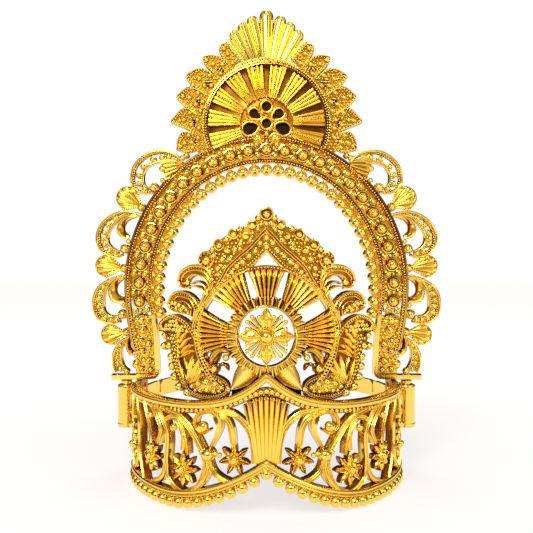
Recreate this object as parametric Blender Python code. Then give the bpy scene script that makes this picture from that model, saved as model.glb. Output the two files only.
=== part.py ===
"""A small gilded temple crown for an altar figure, in its own solids.

The crown has four kinds of piece. A front band with two short back arms rests on its beads.
A pointed crest stands behind the band's upper rim. A halo arch with a sun disc stands over
both, and its two pins drop into barrels beside the band's ends.

Every openwork piece is one relief: outlines drawn flat, each with its own height over the
back, joined in one triangulated sheet and closed by walls and a back. The band and the crest
are then rolled round the crown's axis. Lengths are in millimetres until the mesh is made.
"""
import math

import bmesh
import bpy
from mathutils import Vector
from mathutils.geometry import delaunay_2d_cdt

MM = 0.001

# Driving dimensions of the band and its ring
BAND_RADIUS = 32.4
BAND_WALL = 1.5
BAND_END = 99.0
RIM_TOP = 22.5
RIM_PEAK = 6.6
RIM_PEAK_LENGTH = 6.2
RIM_PEAK_POWER = 1.15
PEARLS = 45
PEARL_PITCH = 2.46
PEARL_RISE = 1.1
PEARL_DEPTH = 0.45
FOOT_LINE = PEARL_DEPTH * PEARL_PITCH
LOBE_RISE = 7.9
LOBE_HALF = 24.0
RIDGE_END = 84.0
ARM_LOW = 15.9
ARM_HIGH = 20.0
ARM_END = 138.0
ARM_NOTCH = 113.0
NOTCH_FLOOR = 17.0

# Driving dimensions of the crest
CREST_RADIUS = 30.3
CREST_WALL = 1.3
CREST_FACE = 31.0
CREST_TUCK = 1.0
WHEEL_CENTRE = 36.4
WHEEL_RADIUS = 15.2
HUB_OUTER = 8.2
HUB_INNER = 6.3

# Driving dimensions of the halo arch
PLATE = 1.5
BACKPLATE = 1.1
ARCH_CENTRE = 45.15
ARCH_PEARLS = 35
PEARL_MIDDLE = 44.65
EDGE_MIDDLE = 45.65
PEARL_ARC = (26.75, 30.0)
ROPE_ARC = (29.0, 32.2)
BEAD_ARC = (32.0, 35.0)
EDGE_ARC = (34.6, 37.4)
FOOT_BAR_LOW = 22.6
FOOT_BAR_HIGH = 23.9
FOOT_BAR_IN = 26.5
FOOT_BAR_OUT = 38.6
DISC_CENTRE = 86.15
DISC_RAYS = 15
FAN_BASE = 100.6
SCROLL = 1.2
LEAF_TIPS = ((58.0, 22.2), (46.0, 23.1), (29.5, 23.3), (16.5, 23.4), (1.5, 23.8), (-17.0, 22.9))
FAN_LOBES = ((0.0, 12.8, 90.0), (0.9, 12.4, 76.0), (1.8, 11.6, 62.0), (2.6, 10.6, 46.0))

# Driving dimensions of the pins and barrels
BARREL_X = 34.95
BARREL_RADIUS = 2.2
BARREL_LOW = 10.8
BARREL_HIGH = 21.3
BORE_RADIUS = 1.3
BORE_FLOOR = 1.0
PIN_RADIUS = 1.0
COLLAR_RADIUS = 1.4
GAP = 0.3

# The crown's axis stands this far behind the middle of the bounding box
ARM_BACK = -BAND_RADIUS * math.cos(math.radians(ARM_END))
AXIS_Y = (BAND_RADIUS + PEARL_RISE - ARM_BACK) / 2

CAST = ((0.93, 0.60, 0.13), 0.25)
PLAIN = ((0.95, 0.66, 0.20), 0.15)


def circle(x, z, radius, sides, turn=0.0):
    """Corners of a regular outline, turned by a number of degrees."""
    step = 360.0 / sides
    angles = [math.radians(turn + step * i) for i in range(sides)]
    return [(x + radius * math.cos(a), z + radius * math.sin(a)) for a in angles]


def arc(x, z, radii, start, end, steps):
    """Points along an elliptic arc between two angles in degrees."""
    angles = [math.radians(start + (end - start) * i / steps) for i in range(steps + 1)]
    return [(x + radii[0] * math.cos(a), z + radii[1] * math.sin(a)) for a in angles]


def smooth(points, steps):
    """A smooth curve through the points, with a number of steps from each to the next."""
    ends = [points[0]] + list(points) + [points[-1]]
    curve = []
    for i in range(1, len(ends) - 2):
        before, here, there, after = ends[i - 1:i + 3]
        for step in range(steps):
            t = step / steps
            curve.append(tuple(0.5 * (2 * b + (c - a) * t + (2 * a - 5 * b + 4 * c - d) * t * t
                                      + (3 * b - a - 3 * c + d) * t ** 3)
                               for a, b, c, d in zip(before, here, there, after)))
    return curve + [tuple(points[-1])]


def stroke(path, start, end=None, middle=None):
    """Outline of a ribbon along a path; its width runs from start to middle to end."""
    end = start if end is None else end
    middle = (start + end) / 2 if middle is None else middle
    left = []
    right = []
    last = len(path) - 1
    for i, (x, z) in enumerate(path):
        ahead = path[min(i + 1, last)]
        behind = path[max(i - 1, 0)]
        along = Vector((ahead[0] - behind[0], ahead[1] - behind[1])).normalized()
        t = i / last
        width = start + (middle - start) * 2 * t if t < 0.5 else middle + (end - middle) * (2 * t - 1)
        left.append((x - along.y * width / 2, z + along.x * width / 2))
        right.append((x + along.y * width / 2, z - along.x * width / 2))
    return left + right[::-1]


def spaced(path, count, start=0.0, end=1.0):
    """Points at even distances along a path, between two shares of its length."""
    lengths = [0.0]
    for a, b in zip(path, path[1:]):
        lengths.append(lengths[-1] + math.dist(a, b))
    points = []
    for i in range(count):
        share = start + (end - start) * (i / (count - 1) if count > 1 else 0.5)
        target = share * lengths[-1]
        k = max(j for j in range(len(path) - 1) if lengths[j] <= target + 1e-9)
        t = (target - lengths[k]) / (lengths[k + 1] - lengths[k])
        points.append((path[k][0] + t * (path[k + 1][0] - path[k][0]),
                       path[k][1] + t * (path[k + 1][1] - path[k][1])))
    return points


def reach_to(path, x, z):
    """Distance from a point to a path."""
    nearest = math.inf
    for (ax, az), (bx, bz) in zip(path, path[1:]):
        run = (bx - ax) ** 2 + (bz - az) ** 2
        t = min(max(((x - ax) * (bx - ax) + (z - az) * (bz - az)) / run, 0.0), 1.0)
        nearest = min(nearest, math.hypot(x - ax - t * (bx - ax), z - az - t * (bz - az)))
    return nearest


def polar(x, z, radius, degrees):
    """A point at a distance and an angle from another point."""
    angle = math.radians(degrees)
    return (x + radius * math.cos(angle), z + radius * math.sin(angle))


class Relief:
    """Flat outlines, each with its height over the back; a later outline covers an earlier."""

    def __init__(self):
        self.shapes = []
        self.held = set()

    def hold(self, path):
        """Keep the points of a straight path, so that the piece can be rolled there."""
        self.held.update((round(x, 2), round(z, 2)) for x, z in path)

    def add(self, outline, height, creases=()):
        """One outline. The height is a number, a function of the point, or None for a hole."""
        ring = list(outline)
        turn = sum(a[0] * b[1] - a[1] * b[0] for a, b in zip(ring, ring[1:] + ring[:1]))
        if turn < 0:
            ring.reverse()
        self.shapes.append((ring, height, [list(c) for c in creases]))

    def both(self, outline, height, creases=()):
        """An outline and its mirror image across the centre line."""
        self.add(outline, height, creases)
        flipped = height
        if callable(height):
            def flipped(x, z):
                return height(-x, z)
        self.add([(-x, z) for x, z in reversed(outline)], flipped,
                 [[(-x, z) for x, z in crease] for crease in creases])

    @staticmethod
    def peak(outline, x, z, base, rise):
        """Height of a faceted dome over a star-shaped outline."""
        corners = [(px - x, pz - z) for px, pz in outline]

        def height(px, pz):
            share = 0.0
            for (ax, az), (bx, bz) in zip(corners, corners[1:] + corners[:1]):
                area = ax * bz - az * bx
                s = ((px - x) * bz - (pz - z) * bx) / area
                t = (ax * (pz - z) - az * (px - x)) / area
                if s > -1e-6 and t > -1e-6:
                    share = min(s + t, 1.0)
                    break
            return base + rise * (1 - share)

        return height

    def dome(self, outline, x, z, base, rise):
        """A faceted dome, doubled unless it sits on the centre line."""
        add = self.add if abs(x) < 1e-6 else self.both
        add(outline, self.peak(outline, x, z, base, rise), [[(x, z), c] for c in outline])

    def bead(self, x, z, radius, base, rise, sides=5, turn=None):
        """A round bead, faceted."""
        turn = 90.0 - 180.0 / sides if turn is None else turn
        self.dome(circle(x, z, radius, sides, turn), x, z, base, rise)

    def flute(self, inner, outer, base, rise, mirror=True):
        """A tapering flute with a roof ridge; inner and outer are its two end edges."""
        def middle(pair):
            return ((pair[0][0] + pair[1][0]) / 2, (pair[0][1] + pair[1][1]) / 2)

        top, foot = middle(outer), middle(inner)
        sides = ((inner[0], outer[0]), (inner[1], outer[1]))
        half = math.dist(*outer) / 2

        def height(px, pz):
            gaps = []
            for a, b in sides:
                along = Vector((b[0] - a[0], b[1] - a[1])).normalized()
                gaps.append(abs((px - a[0]) * along.y - (pz - a[1]) * along.x))
            return base + rise * min(min(gaps) / half, 1.0)

        outline = [inner[0], outer[0], top, outer[1], inner[1], foot]
        add = self.both if mirror else self.add
        add(outline, height, [[foot, top]])

    def leaf(self, foot, tip, width, base, rise, widest=0.45):
        """A pointed leaf with a raised midrib from its foot to its tip."""
        fx, fz = foot
        along = Vector((tip[0] - fx, tip[1] - fz))
        side = Vector((-along.y, along.x)).normalized() * width / 2
        rib = (fx + along.x * widest, fz + along.y * widest)
        outline = [foot, (rib[0] + side.x, rib[1] + side.y), tip, (rib[0] - side.x, rib[1] - side.y)]

        def height(px, pz):
            away = math.dist((px, pz), rib)
            off_rib = abs((px - fx) * along.y - (pz - fz) * along.x) / along.length
            return base + rise * max(0.0, 1 - away / along.length - 2 * off_rib / width)

        self.both(outline, height, [[foot, rib, tip]])

    def ridge(self, path, width, base, rise, mirror=True):
        """A cord of triangular section laid along a path."""
        def height(px, pz):
            return base + rise * max(0.0, 1 - 2 * reach_to(path, px, pz) / width)

        outline = stroke(path, width)
        add = self.both if mirror else self.add
        add(outline, height, [path])
        return outline + path

    def pearls(self, nodes, side, base, rise):
        """A row of pearls from node to node; they bulge to the left (1) or right (-1)."""
        for (ax, az), (bx, bz) in zip(nodes, nodes[1:]):
            along = Vector((bx - ax, bz - az))
            out = Vector((-along.y, along.x)) * side
            outline = [(ax + along.x * t + out.x * s, az + along.y * t + out.y * s)
                       for t, s in ((0, 0), (0.22, PEARL_DEPTH), (0.78, PEARL_DEPTH), (1, 0),
                                    (0.5, -0.5))]
            x, z = (ax + bx) / 2, (az + bz) / 2
            self.add(outline, self.peak(outline, x, z, base, rise),
                     [[(x, z), corner] for corner in outline])

    def levels(self, flat, sheet, tops):
        """Height of each outline at each of its corners.

        Where the heights of two neighbours would cross along an edge, the lower one is
        lifted to the other at the end where they are closest.
        """
        level = {}
        owner = {}
        for number, shape in tops.items():
            face = sheet[number]
            for i in face:
                height = self.shapes[shape][1]
                value = height(flat[i][0], flat[i][1]) if callable(height) else height
                level[shape, i] = round(value, 4)
            for a, b in zip(face, face[1:] + face[:1]):
                owner[a, b] = shape
        edges = [(a, b, shape, owner[b, a]) for (a, b), shape in owner.items()
                 if a < b and owner.get((b, a), shape) != shape]
        for _ in range(12):
            crossed = 0
            for a, b, one, two in edges:
                rise_a = level[one, a] - level[two, a]
                rise_b = level[one, b] - level[two, b]
                if rise_a * rise_b < 0:
                    crossed += 1
                    i = a if abs(rise_a) < abs(rise_b) else b
                    level[one, i] = level[two, i] = max(level[one, i], level[two, i])
            if not crossed:
                break
        return level

    def build(self, name, place):
        """Join the outlines into one closed body and put each corner in its place."""
        points = []
        edges = []
        faces = []
        for outline, _, creases in self.shapes:
            faces.append(list(range(len(points), len(points) + len(outline))))
            points.extend(outline)
            for crease in creases:
                start = len(points)
                points.extend(crease)
                edges.extend((i, i + 1) for i in range(start, len(points) - 1))
        flat, _, sheet, _, _, sources = delaunay_2d_cdt(
            [Vector(p) for p in points], edges, faces, 1, 1e-4, True)
        tops = {}
        for number, (face, inside) in enumerate(zip(sheet, sources)):
            if inside and self.shapes[max(inside)][1] is not None:
                tops[number] = max(inside)
        level = self.levels(flat, sheet, tops)

        body = bmesh.new()
        made = {}

        def corner(index, height):
            if (index, height) not in made:
                made[index, height] = body.verts.new((flat[index][0], flat[index][1], height))
            return made[index, height]

        levels = {}
        sides = {}
        for number, shape in tops.items():
            face = sheet[number]
            heights = {i: level[shape, i] for i in face}
            body.faces.new([corner(i, heights[i]) for i in face])
            body.faces.new([corner(i, 0.0) for i in reversed(face)])
            for i in face:
                levels.setdefault(i, {0.0}).add(heights[i])
            for a, b in zip(face, face[1:] + face[:1]):
                sides[a, b] = (heights[a], heights[b])
        for (a, b), (high_a, high_b) in sides.items():
            low_b, low_a = sides.get((b, a), (0.0, 0.0))
            if (b, a) in sides and (low_a, low_b) > (high_a, high_b):
                continue
            chain_a = sorted(h for h in levels[a] if low_a <= h <= high_a)
            chain_b = sorted(h for h in levels[b] if low_b <= h <= high_b)
            while len(chain_a) > 1 or len(chain_b) > 1:
                if len(chain_b) < 2 or (len(chain_a) > 1 and chain_a[1] <= chain_b[1]):
                    trio = (corner(a, chain_a[1]), corner(a, chain_a[0]), corner(b, chain_b[0]))
                    chain_a.pop(0)
                else:
                    trio = (corner(b, chain_b[0]), corner(b, chain_b[1]), corner(a, chain_a[0]))
                    chain_b.pop(0)
                body.faces.new(trio)
        body.normal_update()
        free = [v for v in body.verts if (round(v.co.x, 2), round(v.co.y, 2)) not in self.held]
        bmesh.ops.dissolve_limit(body, angle_limit=0.004, use_dissolve_boundaries=False,
                                 verts=free, edges=body.edges)
        bmesh.ops.triangulate(body, faces=body.faces, quad_method="BEAUTY", ngon_method="BEAUTY")
        for vert in body.verts:
            vert.co = Vector(place(*vert.co)) * MM
        mesh = bpy.data.meshes.new(name)
        body.to_mesh(mesh)
        body.free()
        return mesh


def standing(x, z, height):
    """Place for the halo arch: upright across the crown, its face towards -Y."""
    return (x, AXIS_Y + PLATE / 2 - height, z)


def rolled(radius, wall, face):
    """Place for a piece rolled round the axis; x is measured along the face radius."""
    def place(x, z, height):
        angle = x / face
        reach = radius - wall + height
        return (reach * math.sin(angle), AXIS_Y - reach * math.cos(angle), z)
    return place


def scroll(relief, centre, hole, radius, tail, turn):
    """A C-scroll of the arch edge: a lobe with a raised lip, a pierced eye and an end bead."""
    x, z = centre
    lip = [tail] + arc(x, z, (radius - 0.6, radius - 0.6), turn, turn - 180, 4)
    relief.both(circle(x, z, radius, 8, turn), SCROLL)
    relief.ridge(lip, 1.2, SCROLL, 0.7)
    relief.both(circle(*hole, 1.7, 5), None)
    relief.bead(hole[0] - 0.8, hole[1] - 3.0, 1.2, SCROLL, 0.9)


def shell(relief, foot, towards, reach, spread, flutes=3):
    """A scallop shell: flutes fanning out from a bead."""
    for i in range(flutes):
        low = towards - spread / 2 + spread * i / flutes
        high = low + spread / flutes
        inner = (polar(*foot, 1.2, low), polar(*foot, 1.2, high))
        outer = (polar(*foot, reach, low), polar(*foot, reach, high))
        relief.flute(inner, outer, SCROLL, 0.7)
    relief.bead(*foot, 1.0, SCROLL, 0.8)


def arch_mesh():
    """The halo arch with its scrolls, sun disc, leaves, fan and foot bars, cast as one."""
    relief = Relief()
    hub = (0.0, DISC_CENTRE)
    relief.add(circle(*hub, 19.4, 20, 90), BACKPLATE)
    for angle, reach in LEAF_TIPS:
        relief.leaf(polar(*hub, 16.4, angle + 2), polar(*hub, reach, angle), 5.4, BACKPLATE, 0.9)
    relief.add(circle(0, FAN_BASE, 6.4, 10), BACKPLATE)
    half = 8.0
    for offset, reach, angle in FAN_LOBES:
        foot = (offset, FAN_BASE)
        inner = (polar(*foot, 1.5, angle + half), polar(*foot, 1.5, angle - half))
        outer = (polar(*foot, reach, angle + half), polar(*foot, reach, angle - half))
        relief.flute(inner, outer, BACKPLATE, 0.9, mirror=offset > 0)
    relief.ridge(arc(*hub, (14.6, 14.6), 90, -20, 7), 1.1, BACKPLATE, 0.8)
    for i in range(DISC_RAYS // 3):
        angle = 90.0 - (i + 0.5) * 360.0 / DISC_RAYS
        inner = (polar(*hub, 6.4, angle + 8), polar(*hub, 6.4, angle - 8))
        outer = (polar(*hub, 13.8, angle + 8), polar(*hub, 13.8, angle - 8))
        relief.flute(inner, outer, BACKPLATE, 0.8)
    for i in range(4):
        relief.bead(*polar(*hub, 4.25, 90 - i * 360 / 7), 1.9, BACKPLATE, 1.1)
    relief.bead(*hub, 1.9, BACKPLATE, 1.1)

    scroll(relief, (27.9, 73.6), (28.6, 73.2), 6.2, (21.4, 78.0), 120)
    scroll(relief, (36.6, 58.6), (36.9, 57.8), 6.2, (31.6, 63.6), 105)
    scroll(relief, (37.7, 42.1), (38.1, 41.0), 6.0, (33.4, 48.0), 105)
    scroll(relief, (34.4, 27.9), (34.2, 27.6), 4.4, (33.0, 32.0), 85)
    shell(relief, (30.7, 65.4), 35, 6.6, 84)
    shell(relief, (35.2, 50.2), 8, 7.4, 76)
    shell(relief, (34.4, 34.3), -6, 6.6, 76)

    low = FOOT_BAR_LOW
    side = FOOT_BAR_IN
    nodes = spaced(arc(0, PEARL_MIDDLE, PEARL_ARC, 193.5, -13.5, 90), ARCH_PEARLS + 1)
    relief.add([(-side, low)] + nodes + [(side, low)], None)
    edge = arc(0, EDGE_MIDDLE, EDGE_ARC, -8, 90, 8)
    outer = [(30.0, low), (31.2, 28.4), (33.4, 37.4)] + edge
    left = [(-x, z) for x, z in outer[:-1]]
    relief.add([(-side, low)] + nodes + [(side, low)] + outer + left[::-1], PLATE)
    relief.ridge(arc(0, ARCH_CENTRE, ROPE_ARC, 90, -14, 8), 1.1, PLATE, 0.7)
    relief.ridge([(31.0, low + 0.8), (31.8, 28.6), (33.8, 37.4)] + edge, 1.1, PLATE, 0.7)
    relief.ridge([(side + 0.7, low), (side + 0.8, 37.0)], 1.2, PLATE, 0.7)
    relief.both([(side, low), (FOOT_BAR_OUT, low), (FOOT_BAR_OUT, FOOT_BAR_HIGH),
                 (side, FOOT_BAR_HIGH)], PLATE + 0.7)
    for x, z in spaced(arc(0, ARCH_CENTRE, BEAD_ARC, 90, -14, 60), 14):
        relief.bead(x, z, 1.7, PLATE, 1.2, sides=4)
    for x, z in ((30.2, 31.2), (29.2, 27.6)):
        relief.bead(x, z, 1.2, PLATE, 0.9)
    relief.pearls(nodes, -1, PLATE, 1.3)
    return relief.build("halo_arch", standing)


def rim_height(x):
    """Upper edge of the band's rim: level at the sides, with an ogee peak at the front."""
    return RIM_TOP + RIM_PEAK * math.exp(-(abs(x) / RIM_PEAK_LENGTH) ** RIM_PEAK_POWER)


def foot_height(x):
    """Line of the lowest pearls: level at the sides, arched up at the front."""
    return FOOT_LINE + LOBE_RISE * max(0.0, 1 - abs(x) / LOBE_HALF) ** 2


def flower(relief, x, z, reach, petals):
    """An open flower: pointed petals that rise towards a domed centre."""
    outline = []
    for i in range(petals):
        angle = 90.0 + 360.0 * i / petals
        outline += [polar(x, z, reach, angle), polar(x, z, reach * 0.55, angle + 180.0 / petals)]
    relief.dome(outline, x, z, BAND_WALL, 0.9)
    relief.bead(x, z, 1.1, BAND_WALL + 0.6, 0.7)


def crest_mesh():
    """The pointed crest: wheel of fans, peacock on each side, lobed and beaded border."""
    relief = Relief()
    base = CREST_WALL
    hub = WHEEL_CENTRE
    relief.both([(0.0, 62.0), (1.5, 60.2), (5.6, 57.6), (9.2, 55.6), (13.2, 52.0), (17.0, 49.4),
                 (18.5, 46.0), (20.5, 41.5), (16.0, 38.0), (11.5, 44.0), (8.5, 48.0),
                 (4.0, 50.6), (0.0, 51.1)], base)
    relief.both(circle(6.9, 57.1, 1.7, 7), base)
    relief.both(circle(10.2, 55.0, 2.0, 7), base)
    relief.both(circle(13.2, 52.0, 2.7, 8), base)
    relief.add([(0.0, 53.7), (-3.4, 50.6), (3.4, 50.6)], None)
    relief.both(stroke(smooth([(12.2, 48.2), (16.0, 50.6), (20.2, 49.4), (20.6, 46.6),
                               (18.4, 45.9)], 2), 1.0, 1.6), base)
    relief.both(circle(15.6, 47.3, 1.0, 5), None)
    relief.bead(18.2, 47.7, 0.85, base, 0.7)
    relief.both(circle(20.6, 43.1, 3.1, 10), base)

    ring = WHEEL_RADIUS - 0.6
    relief.add(circle(0, hub, ring, 20, 90), None)
    for towards, spread, flutes in ((90.0, 17.0, 3), (49.0, 16.5, 3), (-2.0, 23.0, 4)):
        for i in range(flutes):
            low = towards - spread + 2 * spread * i / flutes
            high = low + 2 * spread / flutes
            inner = (polar(0, hub, 7.6, low), polar(0, hub, 7.6, high))
            outer = (polar(0, hub, ring, low), polar(0, hub, ring, high))
            relief.flute(inner, outer, base, 0.7, mirror=towards < 80)
    teeth = 12
    half = 180.0 / teeth
    for i in range(teeth // 2 + 1):
        angle = 90.0 - 2 * half * i
        tooth = [polar(0, hub, reach, angle + turn) for reach, turn in
                 ((HUB_INNER, half), (HUB_OUTER, half), (HUB_OUTER, -half), (HUB_INNER, -half))]
        middle = polar(0, hub, (HUB_INNER + HUB_OUTER) / 2, angle)
        relief.dome(tooth, *middle, base, 0.8)
    petals = [polar(0, hub, 6.7 if i % 2 == 0 else 3.4, 90 + 22.5 * i) for i in range(16)]
    relief.dome(petals, 0, hub, base, 0.5)
    relief.bead(0, hub, 1.9, base + 0.4, 1.0)
    relief.ridge(arc(0, hub, (ring, ring), 90, -60, 7), 1.3, base, 0.7)
    relief.both([(1.0, 28.9), (4.8, 30.0), (6.5, 31.2), (8.2, 24.8), (4.8, 26.4)], base)

    relief.both([(16.6, 38.4), (21.0, 41.0), (27.4, 38.6), (28.0, 36.6), (25.9, 33.0),
                 (23.5, 29.0), (21.4, 24.6), (18.0, 22.0), (15.6, 27.0), (13.6, 31.0)], base)
    for tip in ((26.8, 37.0), (24.2, 38.8), (21.4, 39.2), (18.4, 37.8)):
        relief.leaf((17.6, 27.4), tip, 2.2, base, 0.9, widest=0.7)
    relief.ridge(smooth([(18.8, 40.4), (15.7, 35.9), (14.2, 32.4), (12.4, 28.6)], 1), 1.1, base,
                 0.7)
    column = smooth([(26.6, 34.2), (23.9, 31.2), (22.4, 27.2), (20.4, 24.9)], 4)
    for x, z in spaced(column, 4):
        relief.bead(x, z, 0.95, base, 0.8)

    relief.both(arc(13.1, 25.9, (5.4, 2.9), 0, 180, 7) + [(7.9, 22.0), (18.4, 22.0)], base)
    for x, z in ((13.1, 27.0), (15.4, 25.8), (10.9, 25.9)):
        relief.bead(x, z, 0.85, base, 0.7)
    neck = smooth([(12.0, 28.4), (11.6, 30.6), (9.6, 33.4), (8.4, 32.4)], 2)
    relief.both(stroke(neck, 2.2, 1.3), base)
    relief.both([(8.2, 31.6), (10.4, 32.6), (9.6, 34.8), (8.0, 35.2), (7.4, 34.0)], base)
    relief.bead(8.7, 32.2, 0.95, base, 0.8)
    relief.bead(11.4, 29.6, 1.0, base, 0.8)
    relief.both([(10.8, 30.0), (8.2, 29.5), (8.2, 28.9), (10.8, 29.0)], base)
    relief.bead(8.5, 25.6, 0.9, base, 0.7)

    frame = smooth([(0.0, 58.4), (3.2, 55.4), (11.7, 46.5), (16.9, 38.0)], 2)
    relief.ridge(frame, 1.2, base, 0.8)
    studs = [(0.0, 61.8, 1.35), (3.0, 59.4, 0.95), (6.9, 57.2, 1.15), (10.1, 55.2, 1.15),
             (13.2, 52.2, 1.4), (8.0, 54.2, 0.9), (10.6, 50.4, 0.95), (16.0, 43.8, 0.9)]
    for x, z, radius in studs:
        relief.bead(x, z, radius, base, radius * 0.8)

    span = 24.0
    stops = [0.0, 1.2, 3.0, 6.0, 10.0, 14.0, 19.0, span]
    right = [(x, rim_height(x * BAND_RADIUS / CREST_FACE) - CREST_TUCK) for x in stops]
    edge = [(-x, z) for x, z in right[:0:-1]] + right
    inner_edge = edge[1:-1]
    relief.add(inner_edge + [(x, z + 1.4) for x, z in reversed(inner_edge)], base)
    relief.add([(-30.0, 20.0), (30.0, 20.0)] + edge[::-1], None)
    return relief.build("crest", rolled(CREST_RADIUS, CREST_WALL, CREST_FACE))


def ribbon(relief, points, width, end=None, middle=None, steps=2):
    """A flat ribbon of the scrollwork, on both sides of the band."""
    relief.both(stroke(smooth(points, steps), width, end, middle), BAND_WALL)


def back_arm(relief, reach):
    """A short plain strap behind the band's end, with a notch in its upper edge."""
    end = math.radians(ARM_END) * BAND_RADIUS
    notch = math.radians(ARM_NOTCH) * BAND_RADIUS
    lower = [(reach - 2.0 + (end - reach + 2.0) * i / 6, ARM_LOW) for i in range(7)]
    upper = [(end, ARM_HIGH - 0.8), (end - 0.8, ARM_HIGH), (end - 5.0, ARM_HIGH),
             (end - 9.0, ARM_HIGH), (notch + 1.5, ARM_HIGH), (notch + 0.3, ARM_HIGH - 1.0),
             (notch + 0.3, NOTCH_FLOOR), (notch - 0.3, NOTCH_FLOOR), (notch - 0.3, ARM_HIGH),
             (reach - 2.0, ARM_HIGH)]
    relief.both(lower + upper, BAND_WALL)
    for side in (1, -1):
        relief.hold((side * x, z) for x, z in lower + upper)


def band_mesh():
    """The front band: rims, pearls, palmette, scrollwork and the two back arms."""
    relief = Relief()
    base = BAND_WALL
    reach = math.radians(BAND_END) * BAND_RADIUS
    back_arm(relief, reach)

    ribbon(relief, [(12.9, 20.4), (8.9, 21.6), (5.6, 18.6), (2.4, 11.2)], 1.0)
    ribbon(relief, [(15.2, 20.8), (15.6, 18.4), (14.6, 16.6), (12.6, 16.4), (12.0, 18.2)], 0.9,
           steps=1)
    ribbon(relief, [(7.9, 20.2), (7.5, 16.6), (6.8, 11.6)], 0.9, steps=1)
    ribbon(relief, [(12.4, 21.0), (9.6, 18.6), (10.4, 15.4), (12.6, 12.4)], 0.7, 0.7, 1.5, steps=1)
    ribbon(relief, [(12.6, 11.6), (11.6, 8.6), (8.0, 7.0), (4.0, 9.6)], 1.2, steps=1)
    ribbon(relief, [(36.4, 21.6), (28.0, 20.6), (25.0, 16.4), (23.6, 9.0), (20.0, 3.6)], 1.1, steps=1)
    ribbon(relief, [(24.2, 21.0), (16.8, 17.4), (13.7, 11.0), (16.0, 4.6)], 1.1)
    ribbon(relief, [(25.6, 18.4), (21.0, 18.6), (19.6, 16.4), (18.8, 8.6)], 0.9, steps=1)
    ribbon(relief, [(36.4, 21.2), (35.4, 11.0), (31.4, 3.4)], 1.0, steps=1)
    ribbon(relief, [(24.6, 11.0), (26.0, 6.6), (30.4, 3.2)], 1.0, steps=1)
    ribbon(relief, [(32.6, 21.0), (30.4, 16.8), (29.8, 8.8)], 0.9, steps=1)
    ribbon(relief, [(38.6, 21.4), (43.2, 12.0), (40.4, 3.2)], 1.0, steps=1)
    ribbon(relief, [(35.4, 12.0), (37.4, 6.6), (40.8, 3.2)], 1.0, steps=1)
    ribbon(relief, [(52.4, 21.4), (45.8, 12.0), (48.0, 3.2)], 1.0, steps=1)
    flower(relief, 6.9, 11.6, 3.2, 5)
    flower(relief, 18.8, 8.6, 4.4, 6)
    flower(relief, 30.0, 8.8, 4.4, 6)
    relief.bead(13.3, 18.0, 1.2, base, 1.0)
    relief.bead(21.3, 17.4, 1.1, base, 0.9)
    relief.bead(13.1, 12.0, 1.35, base, 1.1)
    relief.bead(31.2, 17.4, 1.0, base, 0.9)
    relief.bead(42.4, 12.6, 1.7, base, 1.0)
    relief.both([(reach - 1.2, 1.4), (reach, 1.4), (reach, 21.4), (reach - 1.2, 21.4)], base)

    relief.add([(-4.9, 22.9), (-2.6, 11.0), (2.6, 11.0), (4.9, 22.9), (0.0, 24.2)], base)
    flutes = 7
    for i in range(flutes // 2 + 1):
        left, right = (i - 0.5) / (flutes / 2), (i + 0.5) / (flutes / 2)
        inner = ((2.3 * left, 11.4), (2.3 * right, 11.4))
        outer = ((4.6 * left, 22.8), (4.6 * right, 22.8))
        relief.flute(inner, outer, base, 0.9, mirror=i > 0)

    clear = math.radians(RIDGE_END) * BAND_RADIUS
    stops = [0.0, 0.8, 2.0, 3.6, 5.6, 8.0] + [8.0 + (clear - 8.0) * i / 7 for i in range(1, 8)]
    right = [(x, rim_height(x)) for x in stops]
    top = [(-x, z) for x, z in right[:0:-1]] + right
    ends = [(reach, RIM_TOP), (reach, RIM_TOP - 2.5)]
    lower = [(x, z - 2.5) for x, z in reversed(top)]
    relief.add([(-reach, RIM_TOP)] + top + ends + lower + [(-reach, RIM_TOP - 2.5)], base)
    relief.hold(relief.ridge([(x, z - 0.6) for x, z in top], 1.0, base, 0.8, mirror=False))
    relief.hold(top + lower)

    stops = [(PEARLS / 2 - i) * PEARL_PITCH for i in range(PEARLS + 1)]
    nodes = [(-x, foot_height(x)) for x in stops]
    upper = [(x, z + 2.8) for x, z in nodes[::-3]]
    relief.add(nodes + upper, base)
    bead_line = [(x, z + 2.3) for x, z in nodes[::3]]
    relief.hold(upper + relief.ridge(bead_line, 1.0, base, 0.8, mirror=False))
    relief.pearls(nodes, -1, base, PEARL_RISE)
    return relief.build("front_band", rolled(BAND_RADIUS, BAND_WALL, BAND_RADIUS))


def turned_mesh(name, profile, x, sides):
    """A solid turned round an upright axis; the profile runs from the axis to the axis."""
    body = bmesh.new()
    rings = []
    for radius, z in profile:
        count = sides if radius > 0 else 1
        rings.append([body.verts.new((x + px, AXIS_Y + py, z))
                      for px, py in circle(0, 0, radius, count)])
    for low, high in zip(rings, rings[1:]):
        for i in range(sides):
            corners = [low[i % len(low)], low[(i + 1) % len(low)],
                       high[(i + 1) % len(high)], high[i % len(high)]]
            body.faces.new(list(dict.fromkeys(corners)))
    bmesh.ops.scale(body, vec=(MM, MM, MM), verts=body.verts)
    mesh = bpy.data.meshes.new(name)
    body.to_mesh(mesh)
    body.free()
    return mesh


def socket_mesh(name, x):
    """A barrel beside the band's end, bored from above for the arch's pin."""
    profile = [(0.0, BARREL_LOW), (BARREL_RADIUS - 0.3, BARREL_LOW),
               (BARREL_RADIUS, BARREL_LOW + 0.4), (BARREL_RADIUS, BARREL_HIGH - 0.4),
               (BARREL_RADIUS - 0.3, BARREL_HIGH), (BORE_RADIUS, BARREL_HIGH),
               (BORE_RADIUS, BARREL_LOW + BORE_FLOOR), (0.0, BARREL_LOW + BORE_FLOOR)]
    return turned_mesh(name, profile, x, 10)


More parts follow.
